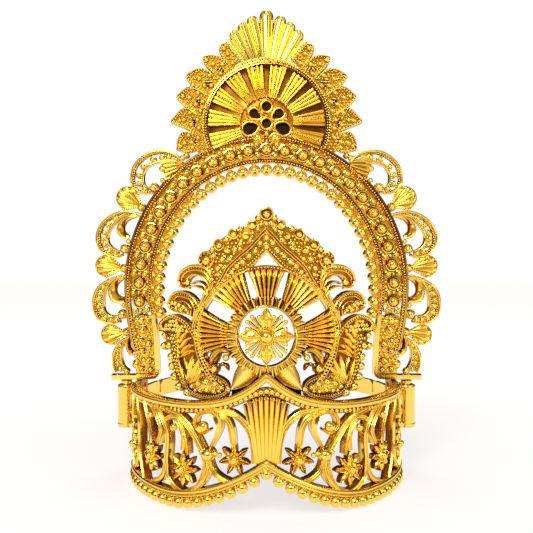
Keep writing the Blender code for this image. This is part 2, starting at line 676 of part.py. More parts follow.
def pin_mesh(name, x):
    """The pin under a foot bar, with the collar that stops it over the barrel."""
    low = BARREL_LOW + BORE_FLOOR + GAP
    shoulder = BARREL_HIGH + GAP
    profile = [(0.0, low), (PIN_RADIUS, low), (PIN_RADIUS, shoulder), (COLLAR_RADIUS, shoulder),
               (COLLAR_RADIUS, FOOT_BAR_LOW - GAP), (0.0, FOOT_BAR_LOW - GAP)]
    return turned_mesh(name, profile, x, 8)


def material(name, colour, roughness):
    """A plain metal with the colour and roughness of the gilding."""
    shader = bpy.data.materials.new(name)
    shader.use_nodes = True
    principled = shader.node_tree.nodes["Principled BSDF"]
    principled.inputs["Base Color"].default_value = (*colour, 1.0)
    principled.inputs["Roughness"].default_value = roughness
    principled.inputs["Metallic"].default_value = 1.0
    return shader


def put(name, mesh, finish):
    """One named object in the scene with its own finish."""
    part = bpy.data.objects.new(name, mesh)
    bpy.context.scene.collection.objects.link(part)
    mesh.materials.append(material(name, *finish))
    return part


def main():
    for old in list(bpy.data.objects):
        bpy.data.objects.remove(old)
    put("halo_arch", arch_mesh(), CAST)
    put("crest", crest_mesh(), CAST)
    put("front_band", band_mesh(), CAST)
    for side, x in (("left", BARREL_X), ("right", -BARREL_X)):
        put("socket_" + side, socket_mesh("socket_" + side, x), PLAIN)
        put("pin_" + side, pin_mesh("pin_" + side, x), PLAIN)


main()
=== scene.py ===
# %% [markdown]
# # A gilded openwork crown for an altar figure
#
# The real crown is cast brass with a bright gold plating, about the height of a hand. It has
# three castings: a band that is rolled round the head, a pointed crest soldered behind the
# band's front, and a tall flat arch that plugs into two barrels at the sides.
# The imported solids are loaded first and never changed. They give the crown's axis and the
# places of the barrels and pins. Each casting is then drawn over its solid, in the same frame,
# with all its beads, milled rails and flutes.

# %% Load the frame
import math

import bpy
import numpy as np
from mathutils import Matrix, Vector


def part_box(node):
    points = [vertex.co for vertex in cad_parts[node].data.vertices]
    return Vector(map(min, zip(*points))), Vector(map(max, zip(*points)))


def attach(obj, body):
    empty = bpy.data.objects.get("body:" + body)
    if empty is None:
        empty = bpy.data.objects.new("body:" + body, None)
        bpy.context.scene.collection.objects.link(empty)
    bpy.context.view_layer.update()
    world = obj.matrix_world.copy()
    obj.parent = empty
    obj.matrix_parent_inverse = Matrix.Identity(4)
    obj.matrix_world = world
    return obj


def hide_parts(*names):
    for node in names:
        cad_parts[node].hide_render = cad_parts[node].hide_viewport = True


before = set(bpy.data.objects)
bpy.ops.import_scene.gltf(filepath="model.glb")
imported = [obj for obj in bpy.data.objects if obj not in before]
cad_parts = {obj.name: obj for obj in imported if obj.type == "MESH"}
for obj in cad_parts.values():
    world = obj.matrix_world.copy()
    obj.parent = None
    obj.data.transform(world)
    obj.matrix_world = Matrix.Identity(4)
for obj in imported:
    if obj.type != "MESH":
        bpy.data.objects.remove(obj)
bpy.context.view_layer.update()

MM = 0.001

# %% [markdown]
# ## Two ways to lay a relief on the crown
#
# A goldsmith carves such openwork flat, and bends the casting afterwards. The script does the
# same. Every form is made with three numbers: how far it lies to the side, how high up it is,
# and how far it stands out of the casting's back. A place function then turns those numbers
# into real coordinates. The arch stays flat. The band and the crest are rolled round an upright
# axis, so the sideways number becomes an angle. All sizes are in millimetres.

# %% Places of the three castings
barrel_low, barrel_high = (np.array(corner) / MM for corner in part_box("socket_left"))
AXIS_Y = (barrel_low[1] + barrel_high[1]) / 2
PLATE = 1.5
BAND_FACE = 32.4
CREST_FACE, CREST_BACK = 31.0, 29.0


def on_arch(points):
    """Side, up and out become x, z and -y, with the plate's middle over the crown's axis."""
    side, up, out = points.T
    return np.stack([side, AXIS_Y + PLATE / 2 - out, up], axis=1)


def rolled(face, back):
    """A place round the axis: angle is side over face radius, and reach is back plus out."""
    def place(points):
        side, up, out = points.T
        angle, reach = side / face, back + out
        return np.stack([reach * np.sin(angle), AXIS_Y - reach * np.cos(angle), up], axis=1)
    return place


PLACES = {"halo_arch": on_arch, "front_band": rolled(BAND_FACE, BAND_FACE - PLATE),
          "crest": rolled(CREST_FACE, CREST_BACK)}
print("axis at y", round(AXIS_Y, 2), "mm")

# %% [markdown]
# ## Skins over loops
#
# Nearly all the forms here are tubes: a row of closed loops, one after the other, with a skin
# between them and a cap on each end. A rope, a rail, a leaf and a bead are all made so, and
# only the loops differ. The loops are computed as one array with no loop over vertices. The
# volume inside the skin tells whether its faces point outwards, and if not, they are turned.
# Blender's curve objects make tubes too, but one section serves a whole curve there, and a
# leaf's or a shell's height has to change at every loop.

# %% The skin of a row of loops
def outward(points, quads, tris):
    """The form, its faces turned round where the sum of their signed volumes is negative."""
    centred = points - points.mean(axis=0)
    corners = np.concatenate([quads[:, [0, 1, 2]], quads[:, [0, 2, 3]], tris])
    a, b, c = (centred[corners[:, i]] for i in range(3))
    if np.einsum("ij,ij->i", a, np.cross(b, c)).sum() < 0:
        quads, tris = quads[:, ::-1], tris[:, ::-1]
    return points, quads, tris


def set_in(points, most=0.14):
    """A flat back moved in by a share of the most that depends on where the form stands, so
    that the backs of forms that cross don't lie in one plane."""
    middle = points.mean(axis=0)
    step = most * ((3.7 * abs(middle[0]) + 2.3 * middle[1]) % 1)
    return points + (points[:, 2:] < points[:, 2].min() + 1e-6) * np.array([0, 0, step])


def skin(grid, ring=False, tips=None):
    """Faces over a grid of loops: grid[row, around] is a point. A ring's last row joins its
    first; otherwise each end closes on a tip, by default the middle of the end's loop."""
    rows, around, _ = grid.shape
    row = np.arange(rows if ring else rows - 1)[:, None]
    here = np.arange(around)[None, :]
    there = (here + 1) % around
    after = (row + 1) % rows
    quads = np.stack([row * around + here, row * around + there,
                      after * around + there, after * around + here], axis=-1).reshape(-1, 4)
    points = grid.reshape(-1, 3)
    tris = np.zeros((0, 3), int)
    if not ring:
        tips = np.stack([grid[0].mean(axis=0), grid[-1].mean(axis=0)]) if tips is None else tips
        here, there = here[0], there[0]
        last = (rows - 1) * around
        first_tip = np.full(around, len(points))
        tris = np.concatenate([np.stack([first_tip, there, here], axis=1),
                               np.stack([first_tip + 1, last + here, last + there], axis=1)])
        points = np.concatenate([points, tips])
    return outward(set_in(points), quads, tris)


def loft(flat, out, ring=False):
    """A skin over loops whose places in the flat and heights are given apart."""
    out = np.broadcast_to(out, flat.shape[:2])
    return skin(np.concatenate([flat, out[..., None]], axis=2), ring)


def return_trip(values):
    """A row of values and the same in reverse: over the top of a form and back under it."""
    return np.concatenate([values, values[..., ::-1]], axis=-1)


def over(top, low):
    """The heights of such a trip: the top's on the way out, and one low height back."""
    return np.concatenate([top, np.full_like(top, low)], axis=1)


print("a skin sets its flat back in by up to 0.14 mm")


# %% Sets of forms
def gather(forms):
    """Several forms as one."""
    points, quads, tris, count = [], [], [], 0
    for form_points, form_quads, form_tris in forms:
        points.append(form_points)
        quads.append(form_quads + count)
        tris.append(form_tris + count)
        count += len(form_points)
    return np.concatenate(points), np.concatenate(quads), np.concatenate(tris)


def both(forms):
    """The forms and their mirror images: side changes its sign and faces turn round."""
    points, quads, tris = gather(forms)
    return [(points, quads, tris), (points * (-1, 1, 1), quads[:, ::-1], tris[:, ::-1])]


def copies(form, moves):
    """The same form at many places; moves is an array of (side, up, out)."""
    points, quads, tris = form
    steps = (np.arange(len(moves)) * len(points))[:, None, None]
    return ((points[None] + moves[:, None]).reshape(-1, 3),
            (quads[None] + steps).reshape(-1, 4), (tris[None] + steps).reshape(-1, 3))


print("forms can be gathered, mirrored and copied")

# %% [markdown]
# ## The goldsmith's stock
#
# Real filigree is put together from stock that is made first: round beads, drawn wire, twisted
# rope, collars, flutes and leaves. Each has its own function. A path is an array of points in
# the flat, and what is laid along it is a loop turned square to the path at each of its points.
# Beads could be set by hand, but a function sets them evenly, and by the thousand.

# %% Paths in the flat
def curve(points, count=60):
    """A smooth curve through the points: the spline whose slope at each point is half the step
    between its neighbours, sampled at even lengths."""
    points = np.asarray(points, float)
    ends = np.concatenate([2 * points[:1] - points[1:2], points, 2 * points[-1:] - points[-2:-1]])
    step = np.linspace(0, len(points) - 1, 24 * len(points), endpoint=False)
    i = step.astype(int)
    t = (step - i)[:, None]
    before, here, there, after = (ends[i + k] for k in range(4))
    line = 0.5 * (2 * here + (there - before) * t
                  + (2 * before - 5 * here + 4 * there - after) * t ** 2
                  + (3 * here - before - 3 * there + after) * t ** 3)
    return even(np.concatenate([line, points[-1:]]), count)


def along(path):
    """How far along the path each of its points lies."""
    return np.concatenate([[0], np.cumsum(np.linalg.norm(np.diff(path, axis=0), axis=1))])


def even(path, count):
    """The path sampled at even lengths."""
    lengths = along(path)
    wanted = np.linspace(0, lengths[-1], count)
    return np.stack([np.interp(wanted, lengths, path[:, k]) for k in (0, 1)], axis=1)


def polar(centre, radius, degrees):
    """Points at distances and angles from a centre; angles run anticlockwise from the side."""
    angle = np.radians(degrees)
    return np.stack([centre[0] + radius * np.cos(angle), centre[1] + radius * np.sin(angle)],
                    axis=-1)


def arc(centre, radii, start, end, count=60):
    """Part of an ellipse, between two angles."""
    angle = np.radians(np.linspace(start, end, count))
    return centre + np.multiply(radii, np.stack([np.cos(angle), np.sin(angle)], axis=1))


def left_of(path, ring=False):
    """The unit directions to a path's left."""
    steps = (np.roll(path, -1, axis=0) - np.roll(path, 1, axis=0)) if ring \
        else np.gradient(path, axis=0)
    steps = steps / np.linalg.norm(steps, axis=1, keepdims=True)
    return np.stack([-steps[:, 1], steps[:, 0]], axis=1)


def beside(path, distance):
    """The path moved to its left."""
    return path + left_of(path) * distance


def loops(path, across, ring=False):
    """Loops square to a path: across holds each loop's distances to the left."""
    return path[:, None] + left_of(path, ring)[:, None] * across[..., None]


def whole(half):
    """The path of the right half, from its foot to the top, and on down the left."""
    return np.concatenate([half, (half * (-1, 1))[-2::-1]])


def sides(spots):
    """The spots and their mirror images; one on the centre line stays single."""
    spots = np.atleast_2d(np.asarray(spots, float))
    return np.concatenate([spots, spots[np.abs(spots[:, 0]) > 0.01] * (-1, 1)])


print("a half circle of 1 mm measures", round(along(arc((0, 0), (1, 1), 0, 180))[-1], 3), "mm")


# %% Beads and other turned forms
def bead(spots, radius, out, around=10, rings=5):
    """Balls at the spots: loops of radius r cos(latitude), r sin(latitude) above the centre."""
    spots = np.atleast_2d(spots)
    latitude = np.radians(np.linspace(-90, 90, rings + 2))[1:-1, None]
    turn = np.linspace(0, 2 * np.pi, around, endpoint=False)[None, :]
    grid = np.stack([np.cos(latitude) * np.cos(turn), np.cos(latitude) * np.sin(turn),
                     np.sin(latitude) + 0 * turn], axis=-1) * radius
    tips = np.array([[0, 0, -radius], [0, 0, radius]])
    return copies(skin(grid, tips=tips), np.column_stack([spots, np.full(len(spots), out)]))


def turned(spots, profile, around=24):
    """Rings at the spots: a closed profile of (radius, out) carried round a circle."""
    spots = np.atleast_2d(spots)
    radius, out = np.asarray(profile, float).T
    turn = np.linspace(0, 2 * np.pi, around, endpoint=False)[:, None]
    grid = np.stack([radius * np.cos(turn), radius * np.sin(turn), out + 0 * turn], axis=-1)
    return copies(skin(grid, ring=True), np.column_stack([spots, np.zeros(len(spots))]))


def seat(spots, radius, low, high, around=16):
    """A flat round plate under a bead."""
    return turned(spots, [(0.02, low), (radius, low), (radius, high), (0.02, high)], around)


def collar(spots, radius, wide, low, high, around=20):
    """A rounded ring round a bead."""
    return turned(spots, [(radius, low), (radius, high - 0.2), (radius + wide * 0.25, high),
                          (radius + wide * 0.7, high - 0.04), (radius + wide, high - 0.3),
                          (radius + wide, low)], around)


def in_collars(stones, out, share, ring, rise=0.0, around=10, rings=5, corners=12):
    """Beads in collars. A stone is (side, up, radius), share is the collar's radius to the
    bead's, and ring holds its width, foot and top."""
    forms = []
    for *spot, radius in stones:
        forms += [bead([spot], radius, out + rise * radius, around, rings),
                  collar([spot], radius * share, *ring, corners)]
    return forms


print("a bead has", len(bead([(0, 0)], 1, 0)[1]), "quads and a collar",
      len(collar([(0, 0)], 1, 0.3, 0, 1)[1]))


# %% Wire, rails and ropes
def rail(path, width, section, widths=1.0, ring=False):
    """A section of (across, out) carried along a path; across 1 is the full width."""
    across, out = np.asarray(section, float).T
    return loft(loops(path, np.outer(np.full(len(path), 1.0) * widths, across * width), ring),
                out, ring)


def flat_wire(low, high):
    """The section of a flat strip with softened upper edges."""
    return [(-0.5, low), (-0.5, high - 0.12), (-0.42, high), (0.42, high),
            (0.5, high - 0.12), (0.5, low)]


def round_wire(low, high):
    """The section of a half-round wire on upright sides."""
    turn = np.linspace(np.pi, 0, 9)
    rise = min(high - low, 0.5)
    top = [(0.5 * math.cos(a), high - rise + rise * math.sin(a)) for a in turn]
    return [(-0.5, low)] + top + [(0.5, low)]


def double_wire(low, high, groove=0.85):
    """The section of a strip with a raised line along both edges."""
    return [(-0.5, low), (-0.5, high - 0.2), (-0.42, high), (-0.3, high), (-0.18, high - groove),
            (0.18, high - groove), (0.3, high), (0.42, high), (0.5, high - 0.2), (0.5, low)]


def taper(count, start, end):
    """Widths of a strip that swells in its middle: a sine raised to a power."""
    t = np.linspace(0, 1, count)
    ends = start + (end - start) * t
    return ends + (1 - ends) * np.sin(np.pi * t) ** 0.6


def wire(points, width, high, count, start=0.6, end=0.6):
    """A half-round wire on a curve, thinner at its ends."""
    return rail(curve(points, count), width, round_wire(0.1, high), taper(count, start, end))


def rope(path, radius, out, pitch=0.7, around=10):
    """Two twisted strands: a loop whose radius swells at two places that turn with the length."""
    length = along(path)[-1]
    path = even(path, max(int(length / pitch * 6), 12))
    turn = np.linspace(0, 2 * np.pi, around, endpoint=False)[None, :]
    twist = (np.linspace(0, along(path)[-1], len(path)) / pitch * np.pi)[:, None]
    reach = radius * (0.62 + 0.38 * np.abs(np.cos(turn - twist)))
    return loft(loops(path, reach * np.cos(turn)), out + reach * np.sin(turn))


def dots(path, radius, out, pitch):
    """A line of small beads along a path."""
    return bead(even(path, max(int(along(path)[-1] / pitch), 2)), radius, out, 6, 3)


def milled(path, width, low=0.2, high=2.1, pitch=0.66):
    """A rail with two sharp edges and a line of tiny beads in the groove between them."""
    spots = even(path, max(int(along(path)[-1] / pitch), 4))
    return [rail(path, width, double_wire(low, high)),
            bead(spots, min(0.27, width * 0.3), high - 0.3, 6, 4)]


print("a rope of 10 mm has", len(rope(np.array([(0, 0), (10.0, 0)]), 0.4, 0)[1]), "quads")


# %% Sheets and leaves
def web(one, two, across, top, low=0.0):
    """A sheet between two paths: across runs from 0 to 1 and top gives its height there."""
    top = np.broadcast_to(np.asarray(top, float), (len(one), len(across)))
    share = return_trip(np.asarray(across, float))[None, :, None]
    return loft(one[:, None] * (1 - share) + two[:, None] * share, over(top, low))


def sheet(one, two, high):
    """A flat sheet between two paths, with softened edges."""
    edge = high - 0.12
    return web(one, two, [0, 0.03, 0.5, 0.97, 1], [edge, high, high, high, edge])


def strip(one, two, high, count):
    """A flat sheet between two curves."""
    return sheet(curve(one, count), curve(two, count), high)


def leaf(spine, width, low, high, rise, groove=0.0, blunt=0.8):
    """A leaf on a spine: its width is a sine of the share of its length, and its height falls
    from the midrib to the edges, with a groove along the midrib."""
    t = np.linspace(0.02, 0.985, len(spine))
    half = 0.5 * width * np.sin(np.pi * t ** blunt) ** 0.8 + 0.03
    across = np.linspace(-1, 1, 9)
    crown = np.clip(1 - np.abs(across) ** 1.6 - groove * np.exp(-(across / 0.18) ** 2), 0, 1.2)
    top = high - rise + rise * np.sin(np.pi * t[:, None] ** 0.9) ** 0.5 * crown
    return loft(loops(spine, np.outer(half, return_trip(across))), over(top, low))


def mound(centre, reach, low, high, edge, around=32):
    """An oval dome on an upright edge: loops of the oval, shrinking while the height follows a
    quarter of a circle."""
    rise = np.radians(np.linspace(0, 80, 7))
    shrink = np.concatenate([[1.0], np.cos(rise)])[:, None, None]
    out = np.concatenate([[low], low + edge + (high - low - edge) * np.sin(rise)])[:, None]
    oval = arc((0, 0), reach, 0, 360 - 360 / around, around)
    grid = np.concatenate([centre + shrink * oval, np.repeat(out, around, 1)[..., None]], axis=2)
    return skin(grid, tips=np.array([[*centre, low], [*centre, high]]))


# %% Beds of small beads
def inside(points, outline):
    """Which points an outline holds: a point is in where a ray from it crosses the outline an
    odd number of times."""
    side, up = points.T
    one, two = outline, np.roll(outline, -1, axis=0)
    crosses = (one[:, 1] > up[:, None]) != (two[:, 1] > up[:, None])
    rise = two[:, 1] - one[:, 1]
    slope = (two[:, 0] - one[:, 0]) / np.where(rise == 0, 1e-9, rise)
    at = one[:, 0] + slope * (up[:, None] - one[:, 1])
    return (crosses & (side[:, None] < at)).sum(axis=1) % 2 == 1


def bed(outline, radius, pitch, out, clear):
    """A close bed of small beads inside an outline, on a grid of triangles, each bead moved a
    little, and none within reach of a larger one; clear is a list of (side, up, radius)."""
    outline = np.asarray(outline, float)
    low, high = outline.min(axis=0), outline.max(axis=0)
    across, up = np.meshgrid(np.arange(low[0], high[0] + pitch, pitch),
                             np.arange(low[1], high[1] + pitch, pitch * 0.866))
    across = across + (np.arange(across.shape[0])[:, None] % 2) * pitch / 2
    shift = 0.12 * pitch * np.sin(across * 7.3 + up * 5.1)
    spots = np.stack([(across + shift).ravel(), (up + 0.7 * shift).ravel()], axis=1)
    spots = spots[inside(spots, outline)]
    for side, height, reach in clear:
        spots = spots[np.hypot(spots[:, 0] - side, spots[:, 1] - height) > reach + radius * 0.7]
    return bead(spots, radius, out, 8, 4)


print("stock ready")

# %% [markdown]
# ## Gilding
#
# All of the crown has one plating, and it looks different where it is worn and where it is cast
# rough. It is also darkened in its hollows, and that darkening is painted shade. A shared node
# group makes those differences. Each mesh carries a `relief` value from 0 in its hollows to 1 on
# its crowns, and the group turns it, with some noise, into the colour, the roughness and the bump
# of the metal: the dark colour at low relief is painted shade. A painted image could do the same,
# but needs unwrapping, and a number on each point doesn't.

# %% Shader nodes
def feed(tree, node, inputs):
    """Sets a node's inputs, each to a plain value or to the output of another node."""
    for key, value in inputs.items():
        if isinstance(value, bpy.types.NodeSocket):
            tree.links.new(value, node.inputs[key])
        else:
            node.inputs[key].default_value = value


def add(tree, kind, inputs=None, **settings):
    """A new node with its settings and its inputs."""
    made = tree.nodes.new(kind)
    for key, value in settings.items():
        setattr(made, key, value)
    feed(tree, made, inputs or {})
    return made


# %% The node group for the plating
def gilding():
    """Group outputs: colour and roughness between hollow and crown (the hollow colour is painted
    shade), and a casting bump.
    """
    group = bpy.data.node_groups.new("gilding", "ShaderNodeTree")
    for name, kind, value in (("Crown", "NodeSocketColor", (1, 0.7, 0.25, 1)),
                              ("Hollow", "NodeSocketColor", (0.5, 0.2, 0.03, 1)),
                              ("Smooth", "NodeSocketFloat", 0.12),
                              ("Rough", "NodeSocketFloat", 0.35),
                              ("Grain", "NodeSocketFloat", 0.05)):
        group.interface.new_socket(name, in_out="INPUT", socket_type=kind).default_value = value
    for name, kind in (("Color", "NodeSocketColor"), ("Roughness", "NodeSocketFloat"),
                       ("Normal", "NodeSocketVector")):
        group.interface.new_socket(name, in_out="OUTPUT", socket_type=kind)

    given = add(group, "NodeGroupInput").outputs
    place = add(group, "ShaderNodeTexCoord").outputs["Object"]
    relief = add(group, "ShaderNodeAttribute", attribute_name="relief").outputs["Fac"]
    patches = add(group, "ShaderNodeTexNoise", {"Scale": 240, "Detail": 4, "Vector": place})
    worn = add(group, "ShaderNodeMath", {0: patches.outputs["Fac"], 1: 0.5, 2: -0.25},
               operation="MULTIPLY_ADD")
    height = add(group, "ShaderNodeMath", {0: relief, 1: worn.outputs[0]}, operation="ADD")
    share = add(group, "ShaderNodeMapRange",
                {"From Min": 0.02, "From Max": 0.62, "Value": height.outputs[0]},
                interpolation_type="SMOOTHSTEP").outputs["Result"]
    colour = add(group, "ShaderNodeMix",
                 {"Factor": share, "A": given["Hollow"], "B": given["Crown"]}, data_type="RGBA")
    rough = add(group, "ShaderNodeMapRange",
                {"Value": share, "To Min": given["Rough"], "To Max": given["Smooth"]})
    cast = add(group, "ShaderNodeTexNoise", {"Scale": 900, "Detail": 3, "Vector": place})
    bump = add(group, "ShaderNodeBump", {"Distance": 0.0002, "Strength": given["Grain"],
                                         "Height": cast.outputs["Fac"]})
    add(group, "NodeGroupOutput", {"Color": colour.outputs["Result"],
                                   "Roughness": rough.outputs["Result"],
                                   "Normal": bump.outputs["Normal"]})
    return group


PLATING = gilding()


def gold(name, crown, hollow, smooth, rough, grain):
    """A finish of the plating: its crown colour, its hollow colour of painted shade, two
    roughnesses and the strength of its grain.
    """
    made = bpy.data.materials.new(name)
    made.use_nodes = True
    tree = made.node_tree
    plating = add(tree, "ShaderNodeGroup",
                  {"Crown": (*crown, 1), "Hollow": (*hollow, 1), "Smooth": smooth,
                   "Rough": rough, "Grain": grain}, node_tree=PLATING).outputs
    feed(tree, tree.nodes["Principled BSDF"],
         {"Metallic": 1.0, "Base Color": plating["Color"], "Roughness": plating["Roughness"],
          "Normal": plating["Normal"]})
    return made


# The second colour of each finish is painted shade, laid in its hollows.
BRIGHT = gold("bright_gold", (1.0, 0.68, 0.12), (0.30, 0.10, 0.004), 0.08, 0.30, 0.05)
CAST = gold("cast_gold", (0.97, 0.60, 0.07), (0.40, 0.16, 0.006), 0.30, 0.42, 0.30)
# This finish paints its hollows nearly black: the deepest painted shade of the finishes.
DEEP_PAINTED_SHADE = gold("deep_painted_shade_gold", (1.0, 0.68, 0.12), (0.12, 0.042, 0.003), 0.09, 0.36, 0.05)
PLAIN = gold("plain_gold", (1.0, 0.69, 0.14), (0.42, 0.16, 0.008), 0.19, 0.28, 0.05)
# A near-black finish for sheets that stand where only shade falls: painted shade.
PAINTED_SHADE = gold("painted_shade_sheet", (0.10, 0.04, 0.006), (0.015, 0.006, 0.002), 0.35, 0.6, 0.2)
print("finishes", [made.name for made in (BRIGHT, CAST, DEEP_PAINTED_SHADE, PLAIN, PAINTED_SHADE)])


# %% Making a piece
def piece(name, forms, node, finish, hollow, crown):
    """One object of the crown: forms are joined and placed, and each point keeps its relief,
    0 at the hollow height over the back and 1 at the crown height. A node that isn't one of
    the three castings takes its forms where they are."""
    points, quads, tris = gather(forms)
    corners = np.concatenate([quads.ravel(), tris.ravel()])
    sizes = np.concatenate([np.full(len(quads), 4), np.full(len(tris), 3)])
    place = PLACES.get(node, np.asarray)
    mesh = bpy.data.meshes.new(name)
    mesh.vertices.add(len(points))
    mesh.vertices.foreach_set("co", (place(points) * MM).ravel())
    mesh.loops.add(len(corners))
    mesh.loops.foreach_set("vertex_index", corners.astype(np.int32))
    mesh.polygons.add(len(sizes))
    mesh.polygons.foreach_set("loop_start", (np.cumsum(sizes) - sizes).astype(np.int32))
    mesh.update(calc_edges=True)
    mesh.polygons.foreach_set("use_smooth", np.ones(len(sizes), bool))
    mesh.set_sharp_from_angle(angle=math.radians(38))
    # Relief 0, at the hollow height and below, gives the finish's painted shade colour.
    relief = mesh.attributes.new("relief", "FLOAT", "POINT")
    relief.data.foreach_set("value", np.clip((points[:, 2] - hollow) / (crown - hollow), 0, 1))
    mesh.materials.append(finish)
    made = bpy.data.objects.new(name, mesh)
    bpy.context.scene.collection.objects.link(made)
    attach(made, "root")
    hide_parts(node)
    print(f"{name}: {len(forms)} forms, {len(sizes)} faces")
    return made


# %% [markdown]
# ## The arch
#
# The arch is a flat casting, a hand's width high. Two milled rails run round it, and between
# them stand large beads in cups, on a bed of small ones. Pearls line the opening. Four scrolls
# curl outwards on each side, with a shell under each of the upper three. All of it is drawn
# for the right side and mirrored. It could be sculpted as one mesh, but forms laid along drawn
# paths stay crisp, and a line that is wrong is mended by moving one of its points.

# %% The arch's rails
INNER, OUTER = (0, 45.15), (0, 45.65)
inner_half = np.concatenate([[(28.1, 38), (28.4, 40.2)], arc(INNER, (28.95, 31.75), -8, 90, 90)])
outer_half = np.concatenate([[(32.2, 29.6), (33.1, 33.4), (33.8, 37.6), (34.2, 40.6)],
                             arc(OUTER, (34.45, 37.0), -5, 90, 90)])
wall_half = np.concatenate([[(33, 30), (33.8, 33.4), (34.5, 37.6), (34.8, 40.6)],
                            arc(OUTER, (35.1, 37.5), -5, 90, 90)])
inner_rail, outer_rail, wall = (even(whole(half), 280)
                                for half in (inner_half, outer_half, wall_half))
arch_rails = [*milled(inner_rail, 0.95), *milled(outer_rail, 0.95),
              rail(wall, 0.7, flat_wire(0.0, 1.45))]
side_bar = curve([(28.2, 38.6), (27.6, 34.5), (27.3, 29), (27.1, 24.9), (27.4, 23.8),
                  (28.3, 23.3), (32, 23.2), (38.5, 23.2)])
BAR = [(-0.5, 0.0), (-0.5, 1.8), (-0.38, 2.2), (0.38, 2.2), (0.5, 1.8), (0.5, 0.0)]
foot_bars = both([rail(side_bar, 1.3, BAR), dots(side_bar[26:-2] + (0, 0.12), 0.17, 2.22, 0.5)])
arch_floor = both([sheet(arc(INNER, (28.8, 32.0), -8, 90, 90),
                         arc(OUTER, (34.6, 37.2), -5, 90, 90), 0.65)])
arch_floor += [sheet(arc((0, 44.65), (27.4, 30.7), start, end),
                     arc(INNER, (28.6, 31.8), start, end), 0.9)
               for start, end in ((-13, 50), (130, 193))]
arch_floor += both([strip([(28, 38.4), (27.8, 34), (27.6, 29), (27.5, 24)],
                          [(33.9, 38.4), (33.2, 34), (32.4, 29.6), (32.6, 24)], 1.0, 30)])
print(f"inner rail {along(inner_rail)[-1]:.0f} mm, outer rail {along(outer_rail)[-1]:.0f} mm long")

# %% The arch's cups, beads and pearls
ROUNDS = 14
bead_line = arc(INNER, (31.75, 34.6), 90, -13, 400)
rounds = even(bead_line, ROUNDS)
middle = even(bead_line, 2 * ROUNDS - 1)[1::2]
cups, middles = sides(rounds), sides(middle)
pairs = sides(np.concatenate([beside(middle, 1.4), beside(middle, -1.4)]))
channel = [collar(cups, 1.3, 0.5, 0.1, 1.55, 28), seat(cups, 1.3, 0.1, 0.9),
           bead(cups, 1.22, 1.5, 16, 8), bead(pairs, 0.6, 1.55, 12, 6),
           collar(pairs, 0.6, 0.28, 0.3, 1.35, 14), bead(middles, 0.42, 1.5),
           turned(middles, [(0.02, 0.4), (0.55, 0.4), (0.52, 1.15), (0.02, 1.15)], 10)]
channel_edge = np.concatenate([arc(INNER, (29.6, 32.8), -9, 90), arc(OUTER, (33.9, 36.4), 90, -6)])
taken = [(*spot, reach) for spots, reach in ((rounds, 1.75), (pairs, 0.85), (middles, 0.5))
         for spot in spots]
channel += both([bed(channel_edge, 0.33, 0.78, 1.4, taken)])
foot_outline = [(28.1, 38.6), (27.9, 34), (27.7, 29), (27.6, 24.2), (32.2, 24), (33, 26.2),
                (31.9, 28.4), (32.4, 31), (33.2, 35), (33.9, 38.4)]
large = [(31.5, 39, 1.1), (30.8, 34.9, 1.0), (29.3, 31.4, 0.85), (29.3, 27.2, 0.85),
         (31.2, 32.3, 0.6), (32.4, 37, 0.6), (29.5, 37, 0.6), (31, 29.6, 0.75), (28.9, 25, 0.6),
         (31.1, 25.2, 0.65), (30.6, 27.4, 0.55)]
foot_beads = [bed(foot_outline, 0.42, 0.96, 1.45, [(x, z, r + 0.15) for x, z, r in large])]
foot_beads += in_collars(large[1:], 1.35, 0.95, (0.32, 0.3, 1.6), rise=0.3, corners=16)

PEARLS = 35
pearl_line, stem_heads = (even(arc(centre, reach, start, 180 - start, 400), 2 * PEARLS + 1)[1::2]
                          for centre, reach, start in (((0, 44.65), (26.75, 30.0), -13.5),
                                                       ((0, 44.9), (28.7, 31.7), -13.3)))
pearls = [bead(pearl_line, 1.49, 1.25, 16, 8)]
for foot, head in zip(pearl_line, stem_heads):
    pearls.append(rail(np.linspace(foot + (head - foot) * 0.3, head, 5), 1.5,
                       round_wire(0.2, 1.6), np.linspace(1.0, 0.45, 5)))

piece("arch_floor", arch_floor, "halo_arch", CAST, 0.1, 1.5)
piece("arch_rails", arch_rails, "halo_arch", BRIGHT, 1.2, 2.0)
piece("arch_beads", channel, "halo_arch", BRIGHT, 0.8, 1.8)
piece("arch_foot_beads", both(foot_beads), "halo_arch", BRIGHT, 0.9, 1.7)
piece("arch_pearls", pearls, "halo_arch", BRIGHT, 0.2, 1.6)
piece("foot_bars", foot_bars, "halo_arch", PLAIN, 0.5, 1.6)


# %% The arch's scrolls
def scroll(outer, inner, beads, end, small):
    """One scroll of the right side: a wide smooth rail with a dotted line inside it, a thin rail
    round the eye, beads between the two rails, and the bead it ends in."""
    outer, inner = curve(outer, 80), curve(inner, 80)
    return [rail(beside(outer, -0.33), 0.66, round_wire(0.1, 2.05), taper(80, 0.8, 0.6)),
            rail(beside(outer, -0.6), 0.8, flat_wire(0.1, 1.0), taper(80, 0.5, 0.4)),
            dots(beside(outer, -0.8)[3:-3], 0.2, 1.15, 0.55),
            rail(beside(inner, 0.3), 0.62, round_wire(0.1, 1.8), taper(80, 0.6, 0.5)),
            dots(beside(inner, 0.75)[3:-3], 0.2, 1.2, 0.5),
            bead([end], 1.15, 1.3, 14, 7), collar([end], 0.9, 0.35, 0.1, 1.2, 16),
            bead([small], 0.62, 1.3), bead(beads, 0.6, 1.4, 12, 6),
            collar(beads, 0.55, 0.3, 0.1, 1.2, 14)]


def hook(outside, within):
    """The curled leaf in a scroll: high along its outer edge, dark and low along its inner."""
    return [web(curve(outside, 40), curve(within, 40), [0, 0.06, 0.3, 0.62, 0.9, 1],
                [1.5, 1.95, 2.0, 1.5, 0.8, 0.6], 0.1), wire(outside, 0.4, 2.1, 40, 0.5, 0.3)]


